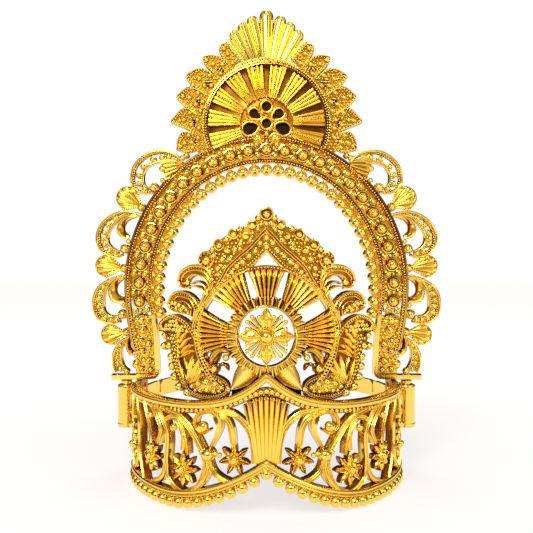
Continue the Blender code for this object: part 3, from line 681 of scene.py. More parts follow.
# %% The scrolls' lines
SCROLLS = (
    ([(20.7, 77), (22.2, 78.5), (24.3, 79.4), (26.5, 79.7), (29, 79.3), (31.3, 77.9),
      (33.1, 75.9), (33.8, 73.6), (33.8, 71.6), (33.1, 70), (31.6, 68.9), (29.8, 68.5),
      (28.2, 68.8)],
     [(21.2, 76.3), (24, 77), (26, 76.6), (27.8, 76.1), (29.3, 75.4), (30.2, 74), (30.4, 72.6),
      (30.1, 71.2), (29, 70.5)],
     [(24.4, 77.9), (26, 77.8), (28.3, 77.4), (30.7, 75.5), (31.8, 73.4), (31.6, 71.3),
      (30.3, 70)], (28, 70.3), (25.9, 72.1)),
    ([(31, 63.8), (33.3, 64.4), (35.8, 64.6), (38.6, 63.6), (40.9, 61.8), (42.2, 59.5),
      (42.5, 57.3), (42, 55.4), (41.1, 54.1), (39.3, 53.1), (37.1, 52.6), (35.6, 53.2)],
     [(31.6, 63.5), (35.3, 62.9), (37.3, 61.4), (38.8, 59.5), (39.3, 57.4), (38.6, 55.9),
      (37.3, 55), (36.4, 54.8)],
     [(37.7, 62.5), (39.4, 61), (40.3, 59.1), (40.7, 57.6), (40.3, 56.1), (39.1, 54.6),
      (37.6, 54)], (35.3, 55), (34.4, 56.9)),
    ([(35, 48.5), (37.8, 48.1), (39.8, 47.3), (41.9, 45.8), (43, 43.8), (43.4, 41.6),
      (43.1, 39.3), (42, 37.5), (40.3, 36.5), (38.3, 36.2), (36.2, 36.6)],
     [(35.4, 48), (37, 47.6), (38.8, 46.3), (40, 44.1), (40.3, 41.6), (40.1, 39.8), (39, 38.7),
      (37.3, 38.5)],
     [(39, 47), (40.6, 45.6), (41.5, 43.9), (41.9, 42.3), (41.8, 40.7), (41.2, 39.2),
      (40.1, 38.1), (38.7, 37.4), (37.4, 37.4)], (35.9, 38.7), (35.6, 40.9)),
    ([(34.4, 33.4), (36.6, 32.1), (37.8, 30.3), (38.5, 28.3), (38.4, 26.1), (37.8, 24.2)],
     [(34.7, 32.6), (35.5, 31.2), (35.9, 29.5), (35.8, 27.6), (35.2, 25.9), (33.9, 24.6)],
     [(36.3, 31), (37, 29.6), (37.2, 28.1), (37, 26.6), (36.4, 25.2), (34.9, 24.5)],
     (32.3, 26.3), (32.5, 28.4)))
HOOKS = (
    ([(31.3, 63.4), (34.1, 63.2), (36.6, 61.3), (37.1, 59.5), (36.1, 58), (34.6, 57.5)],
     [(31.9, 63), (34, 62.3), (35.2, 61), (35.3, 59.6), (34.7, 58.9), (34.1, 58.3)]),
    ([(35.2, 48.1), (37.3, 47.4), (38.8, 45.8), (39.2, 44.1), (38.6, 42.3), (36.8, 41.6),
      (35.4, 41.7)],
     [(35.3, 47.6), (36.8, 46.4), (37.3, 45.1), (37.2, 44.1), (36.6, 43.4), (35.8, 43.1),
      (35.2, 43.2)]),
    ([(34.2, 33.6), (34.9, 31.6), (34.6, 29.8), (33.6, 28.6), (32.7, 29.2)],
     [(33.8, 33.2), (34, 31.6), (33.8, 30.4), (33.3, 29.8), (32.8, 29.9)]))
RIBS = (([(20.9, 76.6), (23.8, 76.9), (26.2, 76.3)], 0.8),
        ([(21, 76.1), (23.4, 76), (25.6, 75.6)], 0.8),
        ([(20.9, 75.8), (23.2, 75.1), (25.3, 74.5)], 0.8),
        ([(20.7, 75.4), (22.8, 74.4), (25.3, 73.4)], 0.8),
        ([(20.5, 75), (22.5, 73.5), (25, 72.3)], 0.75))
scrolls = [form for lines in SCROLLS for form in scroll(*lines)]
scrolls += [form for lines in HOOKS for form in hook(*lines)]
scrolls += [rail(curve(points, 24), width, round_wire(0.1, 1.9), np.linspace(0.55, 1.0, 24))
            for points, width in RIBS]
scrolls += [strip([(20.9, 77.2), (24, 77.4), (26.4, 76.6)],
                  [(20.4, 75), (22.5, 73.3), (25, 72.2)], 1.0, 24),
            bead([(25.9, 74.9)], 0.85, 1.6, 12, 6)]
print(len(SCROLLS), "scrolls,", len(HOOKS), "hooks and", len(RIBS), "ribs on each side")


# %% The arch's shells
def shell(foot, centre, radius, flutes=5):
    """A scallop: over the angle at its foot the reach follows a round outline, and the height is
    a row of arches. The reach at an angle a off its axis is d cos a + sqrt(r2 - d2 sin2 a)."""
    foot, centre = np.array(foot), np.array(centre)
    distance = np.linalg.norm(centre - foot)
    axis = math.atan2(*(centre - foot)[::-1])
    half = math.asin(min(radius / distance, 0.98)) * 0.97
    share = np.linspace(0, 1, flutes * 8 + 1)
    off = half * (2 * share - 1)
    arch = np.abs(np.sin(np.pi * flutes * share))
    rim = distance * np.cos(off) + np.sqrt(np.clip(radius ** 2 - (distance * np.sin(off)) ** 2,
                                                   0, None)) - 0.18 * (1 - arch)
    length = np.array([0.12, 0.2, 0.45, 0.7, 0.88, 0.96, 1.0])
    swell = np.array([0.3, 0.45, 0.7, 1.0, 1.0, 0.8, 0.2])
    top = 1.1 + 0.9 * swell * (0.35 + 0.65 * arch[:, None] ** 0.6)
    reach = return_trip(rim[:, None] * length)
    edge = polar(centre, radius + 0.05, np.degrees(axis + np.linspace(-1.9, 1.9, 40)))
    forms = [loft(polar(foot, reach, np.degrees(axis + off)[:, None]), over(top, 0.1)),
             bead([foot], 0.85, 1.45, 12, 6), collar([foot], 0.6, 0.5, 0.1, 1.3, 14),
             rail(edge, 0.42, round_wire(0.1, 1.45))]
    return forms + [bead(polar(foot, np.linspace(1.1, distance + radius * 0.15, 7),
                               np.degrees(axis + side * half * 1.02)), 0.27, 1.55, 6, 3)
                    for side in (1, -1)]


shells = (shell((31.2, 65.5), (34.5, 67.7), 2.75) + shell((35.5, 50.2), (39.9, 50.8), 2.55)
          + shell((34.8, 34.3), (38.7, 33.7), 2.35, 4))
piece("scrolls", both(scrolls), "halo_arch", BRIGHT, 0.6, 1.8)
piece("shells", both(shells), "halo_arch", BRIGHT, 1.0, 1.9)

# %% [markdown]
# ## The sun disc
#
# Over the arch stands a disc of fifteen deep rays round a rosette of cups. A dotted ring closes
# the rays. Outside it lie a bed of beads, six leaves on each side and a fan of flutes on top.
# Nothing of the disc is made where the arch would cover it. The rays could be made one by one
# and turned into place, but one formula over the angle makes them all, with no seam between.

# %% The disc's rays and ring
HUB = (0, 86.15)
RAYS = 15


def until_arch(degrees, wide=34.4, tall=36.9):
    """How far a ray from the disc's centre goes before it meets the arch's outer rail, from the
    quadratic for a line and an ellipse; rays that miss it go on."""
    cosine, sine = np.cos(np.radians(degrees)), np.sin(np.radians(degrees))
    lift = HUB[1] - OUTER[1]
    a = (cosine / wide) ** 2 + (sine / tall) ** 2
    b = 2 * lift * sine / tall ** 2
    c = (lift / tall) ** 2 - 1
    inner = b * b - 4 * a * c
    reach = (-b - np.sqrt(np.clip(inner, 0, None))) / (2 * a)
    return np.where((inner > 0) & (sine < 0), reach, 99.0)


def sunburst(inner, outer, low, high):
    """The rays: over the angle the height has a deep flat wedge for each ray, and between two
    wedges four ridges, each the bow of a cosine."""
    degrees = np.linspace(-48, 228, RAYS * 48)
    turns = (degrees - 90) / (360 / RAYS)
    phase = np.abs(turns - np.round(turns))
    wedge = np.clip((phase - 0.11) / 0.03, 0, 1)
    form = wedge * (0.25 + 0.75 * np.abs(np.cos(np.pi * (phase - 0.2) / 0.2)) ** 0.8)
    limit = np.minimum(outer, until_arch(degrees) + 0.3)
    share = np.array([0, 0.02, 0.3, 0.65, 0.955, 0.965, 1.0])
    fade = np.array([0.4, 0.9, 1, 1, 1, 0, 0])
    reach = inner + np.clip(limit - inner, 0.05, None)[:, None] * share
    floor = low + (0.45 - 0.4 * share) * (fade > 0)
    top = floor + (high - floor) * form[:, None] * fade
    return loft(polar(HUB, return_trip(reach), degrees[:, None]), over(top, 0.0))


def above_arch(spots, slack):
    """The spots that lie over the arch's outer rail."""
    wide, tall = 34.6 + slack, 37.1 + slack
    return spots[(spots[:, 0] / wide) ** 2 + ((spots[:, 1] - OUTER[1]) / tall) ** 2 > 1]


disc = [sunburst(6.5, 14.85, 0.7, 2.05),
        *milled(arc(HUB, (15.2, 15.2), -24, 204, 240), 0.8, 0.1, 2.0),
        dots(polar(HUB, 15.75, np.linspace(-22, 202, 200)), 0.24, 1.75, 0.62)]
between = 90 + 360 / RAYS * (np.arange(-5, 5) + 0.5)
disc += [bead(above_arch(polar(HUB, 13.95, between), 0.5), 0.34, 1.9, 8, 4)]
for degrees in between:
    line = above_arch(polar(HUB, np.linspace(7.4, 13.3, 14), degrees), 0.3)
    disc += [bead(line, 0.16, 1.75, 6, 3)] if len(line) else []
print("rays", RAYS, "in", len(disc), "forms of the disc")


# %% The disc's rosette
def teardrop(centre, radius, point, sharp):
    """A circle drawn out to a point at an angle, by sharp times its radius."""
    turn = np.linspace(0, 360, 48, endpoint=False)
    away = (turn - point + 180) % 360 - 180
    return polar(centre, radius * (1 + sharp * np.exp(-(away / 32) ** 2)), turn)


hollows, rosette = [], []
for centre, radius, point, sharp in (((0, 90.4), 1.4, 270, 0.0), ((3.1, 88.6), 1.4, 215, 0.5),
                                     ((-3.1, 88.6), 1.4, 325, 0.5), ((4.3, 84.8), 1.75, 160, 0.4),
                                     ((-4.3, 84.8), 1.75, 20, 0.4), (HUB, 1.4, 90, 0.0)):
    path = teardrop(centre, radius, point, sharp)
    second = teardrop(centre, radius + 0.55, point, sharp * 0.8)
    rosette += [rail(path, 0.62, round_wire(0.6, 2.35), ring=True),
                rail(second, 0.3, round_wire(0.6, 1.85), ring=True)]
    # Each cup is plugged by a near-black sheet: painted shade in its opening.
    hollows += [loft(np.stack([path, path]), np.array([[0.9], [1.25]]))]
round_edge = arc(HUB, (6.7, 6.7), -38, 218, 80)
foot_edge = np.column_stack([round_edge[:, 0] * 0.9, np.full(80, 82.3)])
rosette += [sheet(round_edge, foot_edge, 1.0),
            bead(above_arch(polar(HUB, 6.75, np.arange(-36, 220, 9.0)), 0.2), 0.34, 1.5, 8, 4)]
rosette += [bead(sides(spot), radius, 1.7, 8, 4)
            for spot, radius in (((1.8, 88.9), 0.36), ((2.4, 86.9), 0.36), ((2, 84.6), 0.42),
                                 ((4.9, 87.2), 0.4), ((1.5, 92), 0.34))]
rosette += [bead(sides((2.2, 82.6)), 1.2, 1.7, 14, 7),
            collar(sides((2.2, 82.6)), 1.0, 0.45, 0.3, 1.7), bead([(0, 83.6)], 0.6, 1.7)]
print("rosette of", len(hollows), "cups")

# %% The disc's bed and leaves
LEAF_EDGES = (
    ([(6, 102.6), (7.7, 105), (9.8, 106.1), (11.5, 105.8)],
     [(9, 100.2), (10.9, 102.9), (11.6, 104.5), (11.5, 105.8)]),
    ([(9.5, 100), (11.2, 102.4), (13.3, 103.2), (15.8, 102.9)],
     [(12.2, 97.8), (13.9, 99.6), (15.2, 101), (15.8, 102.9)]),
    ([(12.6, 97.4), (14.6, 99.3), (17, 99.8), (20.1, 98.2)],
     [(15.2, 93.6), (17.4, 95.2), (19.3, 96.8), (20.1, 98.2)]),
    ([(15.2, 93.4), (17.5, 94.8), (19.6, 95.2), (22.4, 93)],
     [(17.6, 88.6), (19.6, 90), (21.5, 91.8), (22.4, 93)]),
    ([(17.2, 88.4), (19.1, 89.8), (21.2, 89.6), (23.9, 86.7)],
     [(18.2, 84.2), (20.1, 85.1), (22.3, 86), (23.9, 86.7)]),
    ([(17.8, 83.6), (20.7, 84), (22, 82.2), (22.4, 79.8)],
     [(17.2, 79.9), (19, 79.2), (21.2, 79.5), (22.4, 79.8)]))
leaf_beads = [(9.6, 103.6), (7.7, 103.6), (13.3, 101.1), (11, 101), (16.7, 97.4), (14.2, 98.2),
              (11.4, 98.7), (8.4, 101.3), (15.5, 95.7), (13.7, 95.7), (19.2, 92.7), (17.1, 93.8),
              (15.9, 91.7), (17.6, 91), (20.5, 87.2), (19.1, 88.9), (17.2, 87.2), (18.7, 86),
              (16.4, 89.4), (16.8, 85.1), (19.4, 83.3), (17, 82.7), (20.3, 81.4), (18.6, 81.6),
              (18.4, 80.3), (19.9, 78.3), (18.3, 95.9), (15, 102), (10.6, 104.9), (21.6, 87),
              (20.8, 93), (21.4, 80.6)]


def drawn_in(path, share):
    """The path moved towards the disc's centre by a share of its distance."""
    return path * (1 - share) + np.array(HUB) * share


leaves, leaf_floors = [], []
for edges in LEAF_EDGES:
    upper, lower = (curve(edge, 30) for edge in edges)
    leaf_floors.append(web(upper, lower, [0, 0.06, 0.3, 0.7, 0.94, 1],
                           [0.9, 1.2, 1.1, 1.1, 1.2, 0.9]))
    leaves += [bed(drawn_in(np.concatenate([upper, lower[::-1]]), 0.015), 0.26, 0.74, 1.2,
                   [(*spot, 0.62) for spot in leaf_beads]),
               rail(upper[:-1], 0.4, round_wire(0.1, 1.75)),
               rail(lower[:-1], 0.4, round_wire(0.1, 1.7)),
               dots(drawn_in(upper[1:-1], 0.025), 0.19, 1.65, 0.62),
               dots(drawn_in(lower[1:-1], 0.015), 0.19, 1.6, 0.62)]
leaves += [bead(leaf_beads, 0.55, 1.6, 12, 6), collar(leaf_beads, 0.52, 0.22, 0.2, 1.35, 14),
           bead([(19.9, 78.3), (21, 77.6)], 0.75, 1.3)]
bed_outline = np.concatenate([polar(HUB, 15.7, np.linspace(60, -26, 40)),
                              [(19.6, 78.6), (21.5, 80.2), (21, 82.8), (19, 84.4), (21.9, 86.6),
                               (20, 89.3), (18.9, 89.6), (20.6, 92.9), (18.6, 94.4), (16.4, 94),
                               (18.4, 97.6), (16.6, 98.9), (13.6, 98), (14.6, 101.8),
                               (12.6, 102.3), (10, 101), (10.8, 104.8), (9.2, 105.4),
                               (7, 103.2)]])
disc_beds = [bed(bed_outline, 0.32, 0.95, 1.25, [(*spot, 0.66) for spot in leaf_beads])]
leaf_floors += [sheet(polar(HUB, 15.0, np.linspace(62, -25, 40)),
                      polar(HUB, 18.6, np.linspace(60, -22, 40)), 1.1)]
print(len(LEAF_EDGES), "leaves on each side with", len(leaf_beads), "large beads")


# %% The disc's fan
def flute(points, foot, head, high, count=40):
    """A lobe of the fan: it widens from foot to head with a round end, stands highest along its
    middle and has a fine groove on one side of it."""
    t = np.linspace(0, 1, count)
    end = np.sqrt(np.clip(1 - (np.clip(t - 0.88, 0, None) / 0.122) ** 2, 0, 1))
    half = 0.5 * (foot + (head - foot) * t ** 0.9) * end + 0.01
    across = np.linspace(-1, 1, 31)
    crown = np.sqrt(1 - across ** 2 * 0.97) - 0.3 * np.exp(-((across + 0.35) / 0.08) ** 2)
    rise = (0.45 + 0.55 * t) * np.clip(end * 1.5, 0.3, 1)
    return loft(loops(curve(points, count), np.outer(half, return_trip(across))),
                over(1.0 + (high - 1.0) * np.outer(rise, crown), 0.0))


crown_fan = both([flute([(1.3, 101.6), (2.4, 107.5), (3.8, 113)], 1.5, 3.0, 2.25),
                  flute([(2.4, 101.2), (4.3, 106.2), (6.2, 111.4)], 1.5, 2.95, 2.15),
                  flute([(3.4, 100.6), (6, 105.2), (8.4, 109.4)], 1.5, 3.0, 2.05),
                  flute([(4.3, 99.9), (7.4, 104.1), (9.7, 107)], 1.5, 2.0, 1.7),
                  bead([(3.6, 112.2), (5.9, 110.7), (8, 108.8)], 0.6, 1.95),
                  dots(curve([(4.6, 99.9), (7.9, 103.9), (9.9, 106.6)], 20), 0.25, 1.6, 0.7)])
crown_fan += [flute([(0, 101.2), (0, 107), (0, 114.4)], 1.8, 3.6, 2.4, 44),
              strip([(-8.6, 107.4), (-4.6, 110.4), (0, 111.8), (4.6, 110.4), (8.6, 107.4)],
                    [(-4.6, 99.6), (-2.4, 100.9), (0, 101.3), (2.4, 100.9), (4.6, 99.6)],
                    0.8, 40),
              bead([(0, 113.4)], 0.75, 2.0, 12, 6), bead([(0, 101.5)], 0.8, 1.7, 12, 6),
              bead(sides((1.5, 101.4)), 0.45, 1.7, 8, 4),
              rope(arc((0, 101.2), (2.4, 1.3), 10, 170, 30), 0.32, 1.9),
              rope(arc(HUB, (16.2, 16.2), 62, 118), 0.36, 1.7)]

piece("sun_disc", disc, "halo_arch", DEEP_PAINTED_SHADE, 1.0, 1.7)
piece("rosette", rosette, "halo_arch", BRIGHT, 1.0, 2.0)
# The cups' plugs carry painted shade.
piece("rosette_hollows", hollows, "halo_arch", PAINTED_SHADE, 0.9, 3.0)
piece("disc_leaves", both(leaves), "halo_arch", BRIGHT, 1.1, 1.8)
# The leaf floors lie below the hollow height, so they are covered in painted shade.
piece("leaf_floors", both(leaf_floors), "halo_arch", CAST, 1.15, 2.5)
piece("bead_bed", both(disc_beds), "halo_arch", BRIGHT, 1.0, 1.6)
piece("crown_fan", crown_fan, "halo_arch", DEEP_PAINTED_SHADE, 1.0, 1.9)

# %% [markdown]
# ## The crest
#
# The crest is a pointed plate behind the band's rim. A wheel of fans fills it, and its hub is a
# toothed ring round a pierced rosette. A peacock stands on each side, its tail bordered by a
# milled rail, and a double line and a bed of beads run up to the point. The arch's stock makes
# it all, and the place function then rolls it to the band's curve.

# %% The crest's wheel
WHEEL = (0, 36.4)
TEETH = 30
TOOTH = [(-0.5, 0.2), (-0.48, 1.4), (-0.3, 1.95), (-0.12, 1.9), (0, 1.2), (0.12, 1.9),
         (0.3, 1.95), (0.48, 1.4), (0.5, 0.2)]


def widened(forms):
    """The wheel is a little wider than it is high: side grows by up to a twelfth."""
    points, quads, tris = gather(forms)
    points[:, 0] *= 1 + 0.085 * (points[:, 0] / 14) ** 2
    return [(points, quads, tris)]


def wheel_fan(towards, outer_half, inner_half, flutes, inner=7.9, outer=13.75):
    """A fan of the wheel whose sides draw in towards the hub more than radii do."""
    share = np.linspace(-1, 1, flutes * 8 + 1)
    arch = np.abs(np.sin(np.pi * flutes * (share + 1) / 2))
    length = np.array([0, 0.04, 0.35, 0.7, 0.95, 1.0])
    fade = np.array([0.5, 1, 1, 1, 1, 0.6])
    degrees = towards + share[:, None] * (inner_half + (outer_half - inner_half) * length)
    reach = inner + (outer - inner) * length
    top = 0.85 + 1.15 * fade * (0.05 + 0.95 * arch[:, None] ** 0.6)
    return loft(polar(WHEEL, return_trip(reach), return_trip(degrees)), over(top, 0.2))


wheel = [wheel_fan(90, 16.5, 12.5, 6), wheel_fan(128.5, 18.5, 14.5, 7),
         wheel_fan(51.5, 18.5, 14.5, 7), wheel_fan(178, 20, 15, 8), wheel_fan(2, 20, 15, 8),
         *milled(whole(arc(WHEEL, (14.1, 14.1), -50, 90, 120)), 0.85, 0.1, 2.05),
         turned([WHEEL], [(5.95, 0.2), (5.95, 1.7), (6.1, 1.95), (6.3, 1.9), (6.4, 1.3),
                          (7.9, 1.2), (7.95, 0.2)], 90)]
wheel += [rail(polar(WHEEL, np.linspace(6.4, 8.3, 9), degrees), 1.45, TOOTH,
               np.array([0.8, 0.85, 0.9, 0.95, 1, 1.04, 1.02, 0.92, 0.6]))
          for degrees in 90 + 360 / TEETH * np.arange(TEETH)]
for degrees in (0, 90, 180, 270):
    wheel += [leaf(polar(WHEEL, np.linspace(1.2, 5.7, 20), degrees), 2.7, 0.2, 2.2, 0.8,
                   groove=0.7, blunt=0.85),
              dots(polar(WHEEL, np.linspace(2.2, 5.9, 8), degrees), 0.2, 2.0, 0.6)]
    for off, reach in ((-24, 3.9), (-8, 4.6), (8, 4.6), (24, 3.9)):
        turn = degrees + 45 + off
        wheel += [rail(polar(WHEEL, np.linspace(1.4, reach, 8), turn), 0.85,
                       round_wire(0.3, 1.85), np.linspace(0.5, 1.0, 8)),
                  bead([polar(WHEEL, reach + 0.3, turn)], 0.5, 1.7)]
wheel += [bead([WHEEL], 1.42, 2.0, 18, 9), collar([WHEEL], 1.35, 0.35, 0.3, 2.0, 32),
          bead(polar(WHEEL, 1.85, np.arange(0, 360, 15)), 0.18, 2.0, 6, 3),
          seat([WHEEL], 2.2, 0.3, 1.3, 32)]
print("wheel of", len(wheel), "forms,", TEETH, "of them teeth")

# %% The crest's point
outline = [(0, 62.2), (1.6, 60.7), (3.9, 59), (6.9, 58), (9.9, 56.2), (13.1, 53.8), (15.2, 52.2),
           (14.9, 50.4), (13.4, 48.4), (12.4, 46.8)]
line = whole(curve([(15.3, 35.8), (16.2, 37.6), (15.8, 39.4), (13.9, 42.4), (11.7, 45.2),
                    (9.7, 48.1), (8.2, 50.6), (6.1, 52.6), (3.5, 54.8), (2.2, 56.3),
                    (0, 58.6)], 90))
inner_half = curve([(11.7, 44.3), (7.8, 47.8), (4.1, 50), (2.7, 51.1), (0, 53.9)], 50)
inner_edge = whole(inner_half)
crest_floors = [sheet(curve(outline, 50)[::-1], inner_half, 0.95)]
studs = [(0, 61.4, 1.45), (3, 59.2, 1.0), (6.9, 57.3, 1.2), (4.3, 56.9, 0.8), (10.1, 55.1, 1.3),
         (8.2, 54.1, 0.85), (13.1, 52, 1.9)]
small = [(0, 57.5, 0.4), (0, 56.5, 0.62), (0, 54.7, 0.62), (1.3, 55.4, 0.55), (2.3, 53.8, 0.55),
         (3.6, 52.8, 0.6), (5, 51.6, 0.62), (6.2, 50.7, 0.6), (7.3, 49.5, 0.55),
         (8.1, 48.7, 0.45), (9, 47.7, 0.4), (9.9, 46.6, 0.35), (1.7, 60.5, 0.55),
         (1.1, 59.3, 0.42), (1.8, 58.2, 0.38), (2.9, 57.5, 0.38), (5.5, 55.3, 0.45),
         (5.5, 54.3, 0.45), (3.4, 55.9, 0.4), (9.4, 52.2, 0.62), (7.8, 52.2, 0.5),
         (10.4, 50.3, 0.62), (9.1, 50.4, 0.4), (10.2, 49, 0.5), (11.4, 52.9, 0.5),
         (5.4, 58.3, 0.5), (8.5, 56.3, 0.5), (11.7, 54.2, 0.5), (12.3, 49.6, 0.6),
         (12, 47.9, 0.45), (0, 59.3, 0.45), (6.7, 53.9, 0.4)]
point = [rail(line, 0.36, round_wire(0.1, 2.05)),
         rail(beside(line, 0.5), 0.34, round_wire(0.1, 2.05)),
         rail(inner_edge, 0.5, round_wire(0.1, 1.9)),
         dots(beside(inner_edge, -0.55), 0.24, 1.6, 0.6)]
for side, up, radius in studs:
    spots = sides((side, up))
    point += [collar(spots, radius - 0.42, 0.42, 0.0, 1.75), seat(spots, radius - 0.3, 0.0, 1.0),
              bead(spots - (0, 0.12), radius * 0.52, 1.35, 12, 6)]
for side, up, radius in small:
    spots = sides((side, up))
    point += [bead(spots, radius * 1.05, 1.35, 12, 6), collar(spots, radius, 0.24, 0.4, 1.2, 14)]
bed_edge = np.concatenate([curve([(0.1, 60), (4, 57.9), (7, 56.9), (10, 54.9), (13, 51.4),
                                  (12.9, 48.9), (12.2, 46.9)], 40),
                           curve([(12, 45.9), (10.2, 48.4), (8.7, 50.9), (6.6, 52.9), (4, 55.2),
                                  (2.7, 56.6), (0.1, 59.1)], 40)])
point += both([bead(polar((13.1, 52), 1.35, np.arange(0, 360, 36)), 0.25, 1.5, 6, 3),
               bed(bed_edge, 0.3, 0.84, 1.1, studs + small)])
print(len(studs), "large and", len(small), "small beads on each half of the point")

# %% The crest's plumes
plumes = [strip([(11.7, 46.3), (11.6, 47.9), (12.7, 50), (14.6, 50.7), (17.1, 50.7), (19.5, 49.4),
                 (20.2, 47.8), (19.5, 46.6), (18, 46.2)],
                [(12.4, 45.6), (12.8, 47), (14.1, 48.3), (16, 48.7), (17.2, 48.3), (18.2, 47.4),
                 (18.5, 47), (18.3, 46.7), (18, 46.6)], 1.05, 60)]
plumes += [wire(points, width, 1.95, 44) for points, width in (
    ([(11.7, 46), (11.5, 47.9), (12.7, 50), (14.6, 50.7), (17.1, 50.7), (19.6, 49.4),
      (20.3, 47.8), (19.6, 46.5), (17.9, 46.1)], 0.6),
    ([(12, 45.8), (12, 47.6), (13.1, 49.2), (15.2, 49.9), (17.5, 49.6), (19.2, 48.4),
      (19.3, 47.2)], 0.45),
    ([(12.2, 45.6), (12.7, 47.3), (14.1, 48.6), (16.1, 49), (17.3, 48.5), (18.1, 47.7)], 0.5),
    ([(12.7, 45), (13.3, 46.4), (14.4, 47.3), (15.6, 47.5), (16.6, 47.1)], 0.5),
    ([(12.7, 44.6), (14, 45.9), (15.6, 46.5), (17.4, 46.4)], 0.45))]
eye_edge = curve([(15.9, 39.4), (14.9, 41.2), (15.5, 43.3), (17.6, 44.9), (20.3, 45.3),
                  (22.5, 44.5), (23.7, 42.9), (22.9, 41.6), (20.3, 41), (18.2, 40.8)])
plumes += [bead([(17.9, 47.4)], 0.8, 1.4, 12, 6), bead([(14, 46.9)], 0.4, 1.4, 8, 4),
           dots(curve([(12.3, 49), (14.6, 50.3), (17, 50.3), (19.2, 49.1)], 30), 0.2, 1.6, 0.6),
           sheet(eye_edge[:30], eye_edge[:29:-1], 1.0), rail(eye_edge, 0.5, round_wire(0.1, 1.95)),
           dots(beside(eye_edge, -0.48), 0.2, 1.5, 0.55),
           wire([(16.3, 39.8), (15.9, 41.5), (16.6, 43.2), (18.2, 44.1), (20.4, 44.3),
                 (22, 43.6)], 0.45, 1.9, 40, 0.6, 0.5),
           wire([(16.9, 40.2), (16.8, 41.6), (17.5, 42.7), (18.8, 43.3), (20.2, 43.3)],
                0.4, 1.85, 34, 0.6, 0.5),
           wire([(16.7, 39.2), (15, 42), (13.7, 44.4), (13, 46.6)], 0.55, 1.9, 24),
           wire([(16.2, 39.4), (14.3, 42.3), (12.9, 44.7), (12.3, 46.9)], 0.5, 1.9, 24),
           strip([(17, 38.6), (15.2, 42.2), (13.9, 45), (13.2, 47.6)],
                 [(15.9, 39), (13.6, 42.4), (11.8, 45.2), (11.4, 47.4)], 0.8, 20),
           *in_collars([(19, 42.1, 0.55), (20.3, 42.5, 0.6), (18.2, 41.5, 0.45),
                        (21.5, 42.8, 0.6), (19.8, 41.5, 0.5), (22.4, 42.9, 0.5),
                        (21.2, 41.8, 0.5), (17.7, 40.9, 0.4)], 1.5, 0.95, (0.18, 0.6, 1.4))]
print("plumes of", len(plumes), "forms on each side")

# %% The peacocks' tails
tail_line = curve([(27.5, 36.6), (26, 38.6), (22.5, 40), (19.2, 39.3), (16.9, 37.7), (15.4, 35.5),
                   (13.9, 32.2), (12.2, 29.4)], 80)
inner_line = curve([(20.9, 36.2), (20.6, 34), (20.4, 31.2), (19.7, 28.2), (18.3, 25.4)], 40)
tails = [*milled(tail_line, 0.85, 0.1, 2.05), *milled(inner_line, 0.6, 0.1, 2.0),
         sheet(even(tail_line, 60),
               curve([(26.6, 35.4), (24, 32.4), (23.4, 30.2), (22.2, 27.6), (20.6, 25.4),
                      (18.6, 24), (15.6, 25), (13.2, 27.4), (12.2, 29)]), 0.85)]
tails += [leaf(curve([(17.8, 25.9), middle, tip], 26), width, 0.1, 2.05, 0.85, groove=0.35)
          for middle, tip, width in (((18.5, 28), (18.9, 31.4), 1.7),
                                     ((17.4, 28.4), (16.6, 32), 1.8),
                                     ((16.5, 28.2), (14.6, 31.8), 1.7),
                                     ((15.6, 27.9), (13.2, 30.6), 1.5),
                                     ((15, 27.4), (12.9, 28.8), 1.1))]
tails += [leaf(curve(points, 18), 1.0, 0.1, 1.95, 0.7, groove=0.3)
          for points in ([(20.2, 33.2), (18.6, 34.9), (16.9, 35.8)],
                         [(20.1, 32.2), (18.2, 33.6), (16.1, 34.3)],
                         [(20, 31.4), (17.8, 32.6), (15.5, 33)],
                         [(20.4, 34.3), (19.2, 36), (17.6, 37)],
                         [(20.8, 35.4), (20.2, 37.2), (19, 38.2)],
                         [(21.2, 36.4), (21.4, 37.9), (20.8, 38.9)])]
top_bed = [(27, 36.7), (25.6, 38.3), (22.5, 39.3), (19.5, 38.7), (17.6, 37.5), (18.6, 36.5),
           (21, 36.3), (24, 36.4), (25, 34.4)]
side_bed = [(21.2, 36.2), (24.4, 35.6), (24.2, 33), (22.6, 30.4), (21.8, 27.6), (20.2, 25.6),
            (19.2, 25.4), (20.3, 28.6), (20.9, 31.6)]
column = [(26, 33.3, 0.8), (23.9, 33.6, 0.85), (25.6, 35.6, 0.75), (23.2, 31.2, 0.9),
          (22.9, 29.2, 0.9), (22.1, 27.1, 0.95), (20.6, 25.1, 0.95), (18.2, 24.1, 0.9)]
tails += [bed(side_bed, 0.34, 0.86, 1.3, column), bed(top_bed, 0.46, 1.04, 1.35, column),
          *in_collars(column, 1.2, 0.9, (0.22, 0.1, 1.1), around=12, rings=6, corners=14)]
print("tail border", round(along(tail_line)[-1], 1), "mm long on each side")

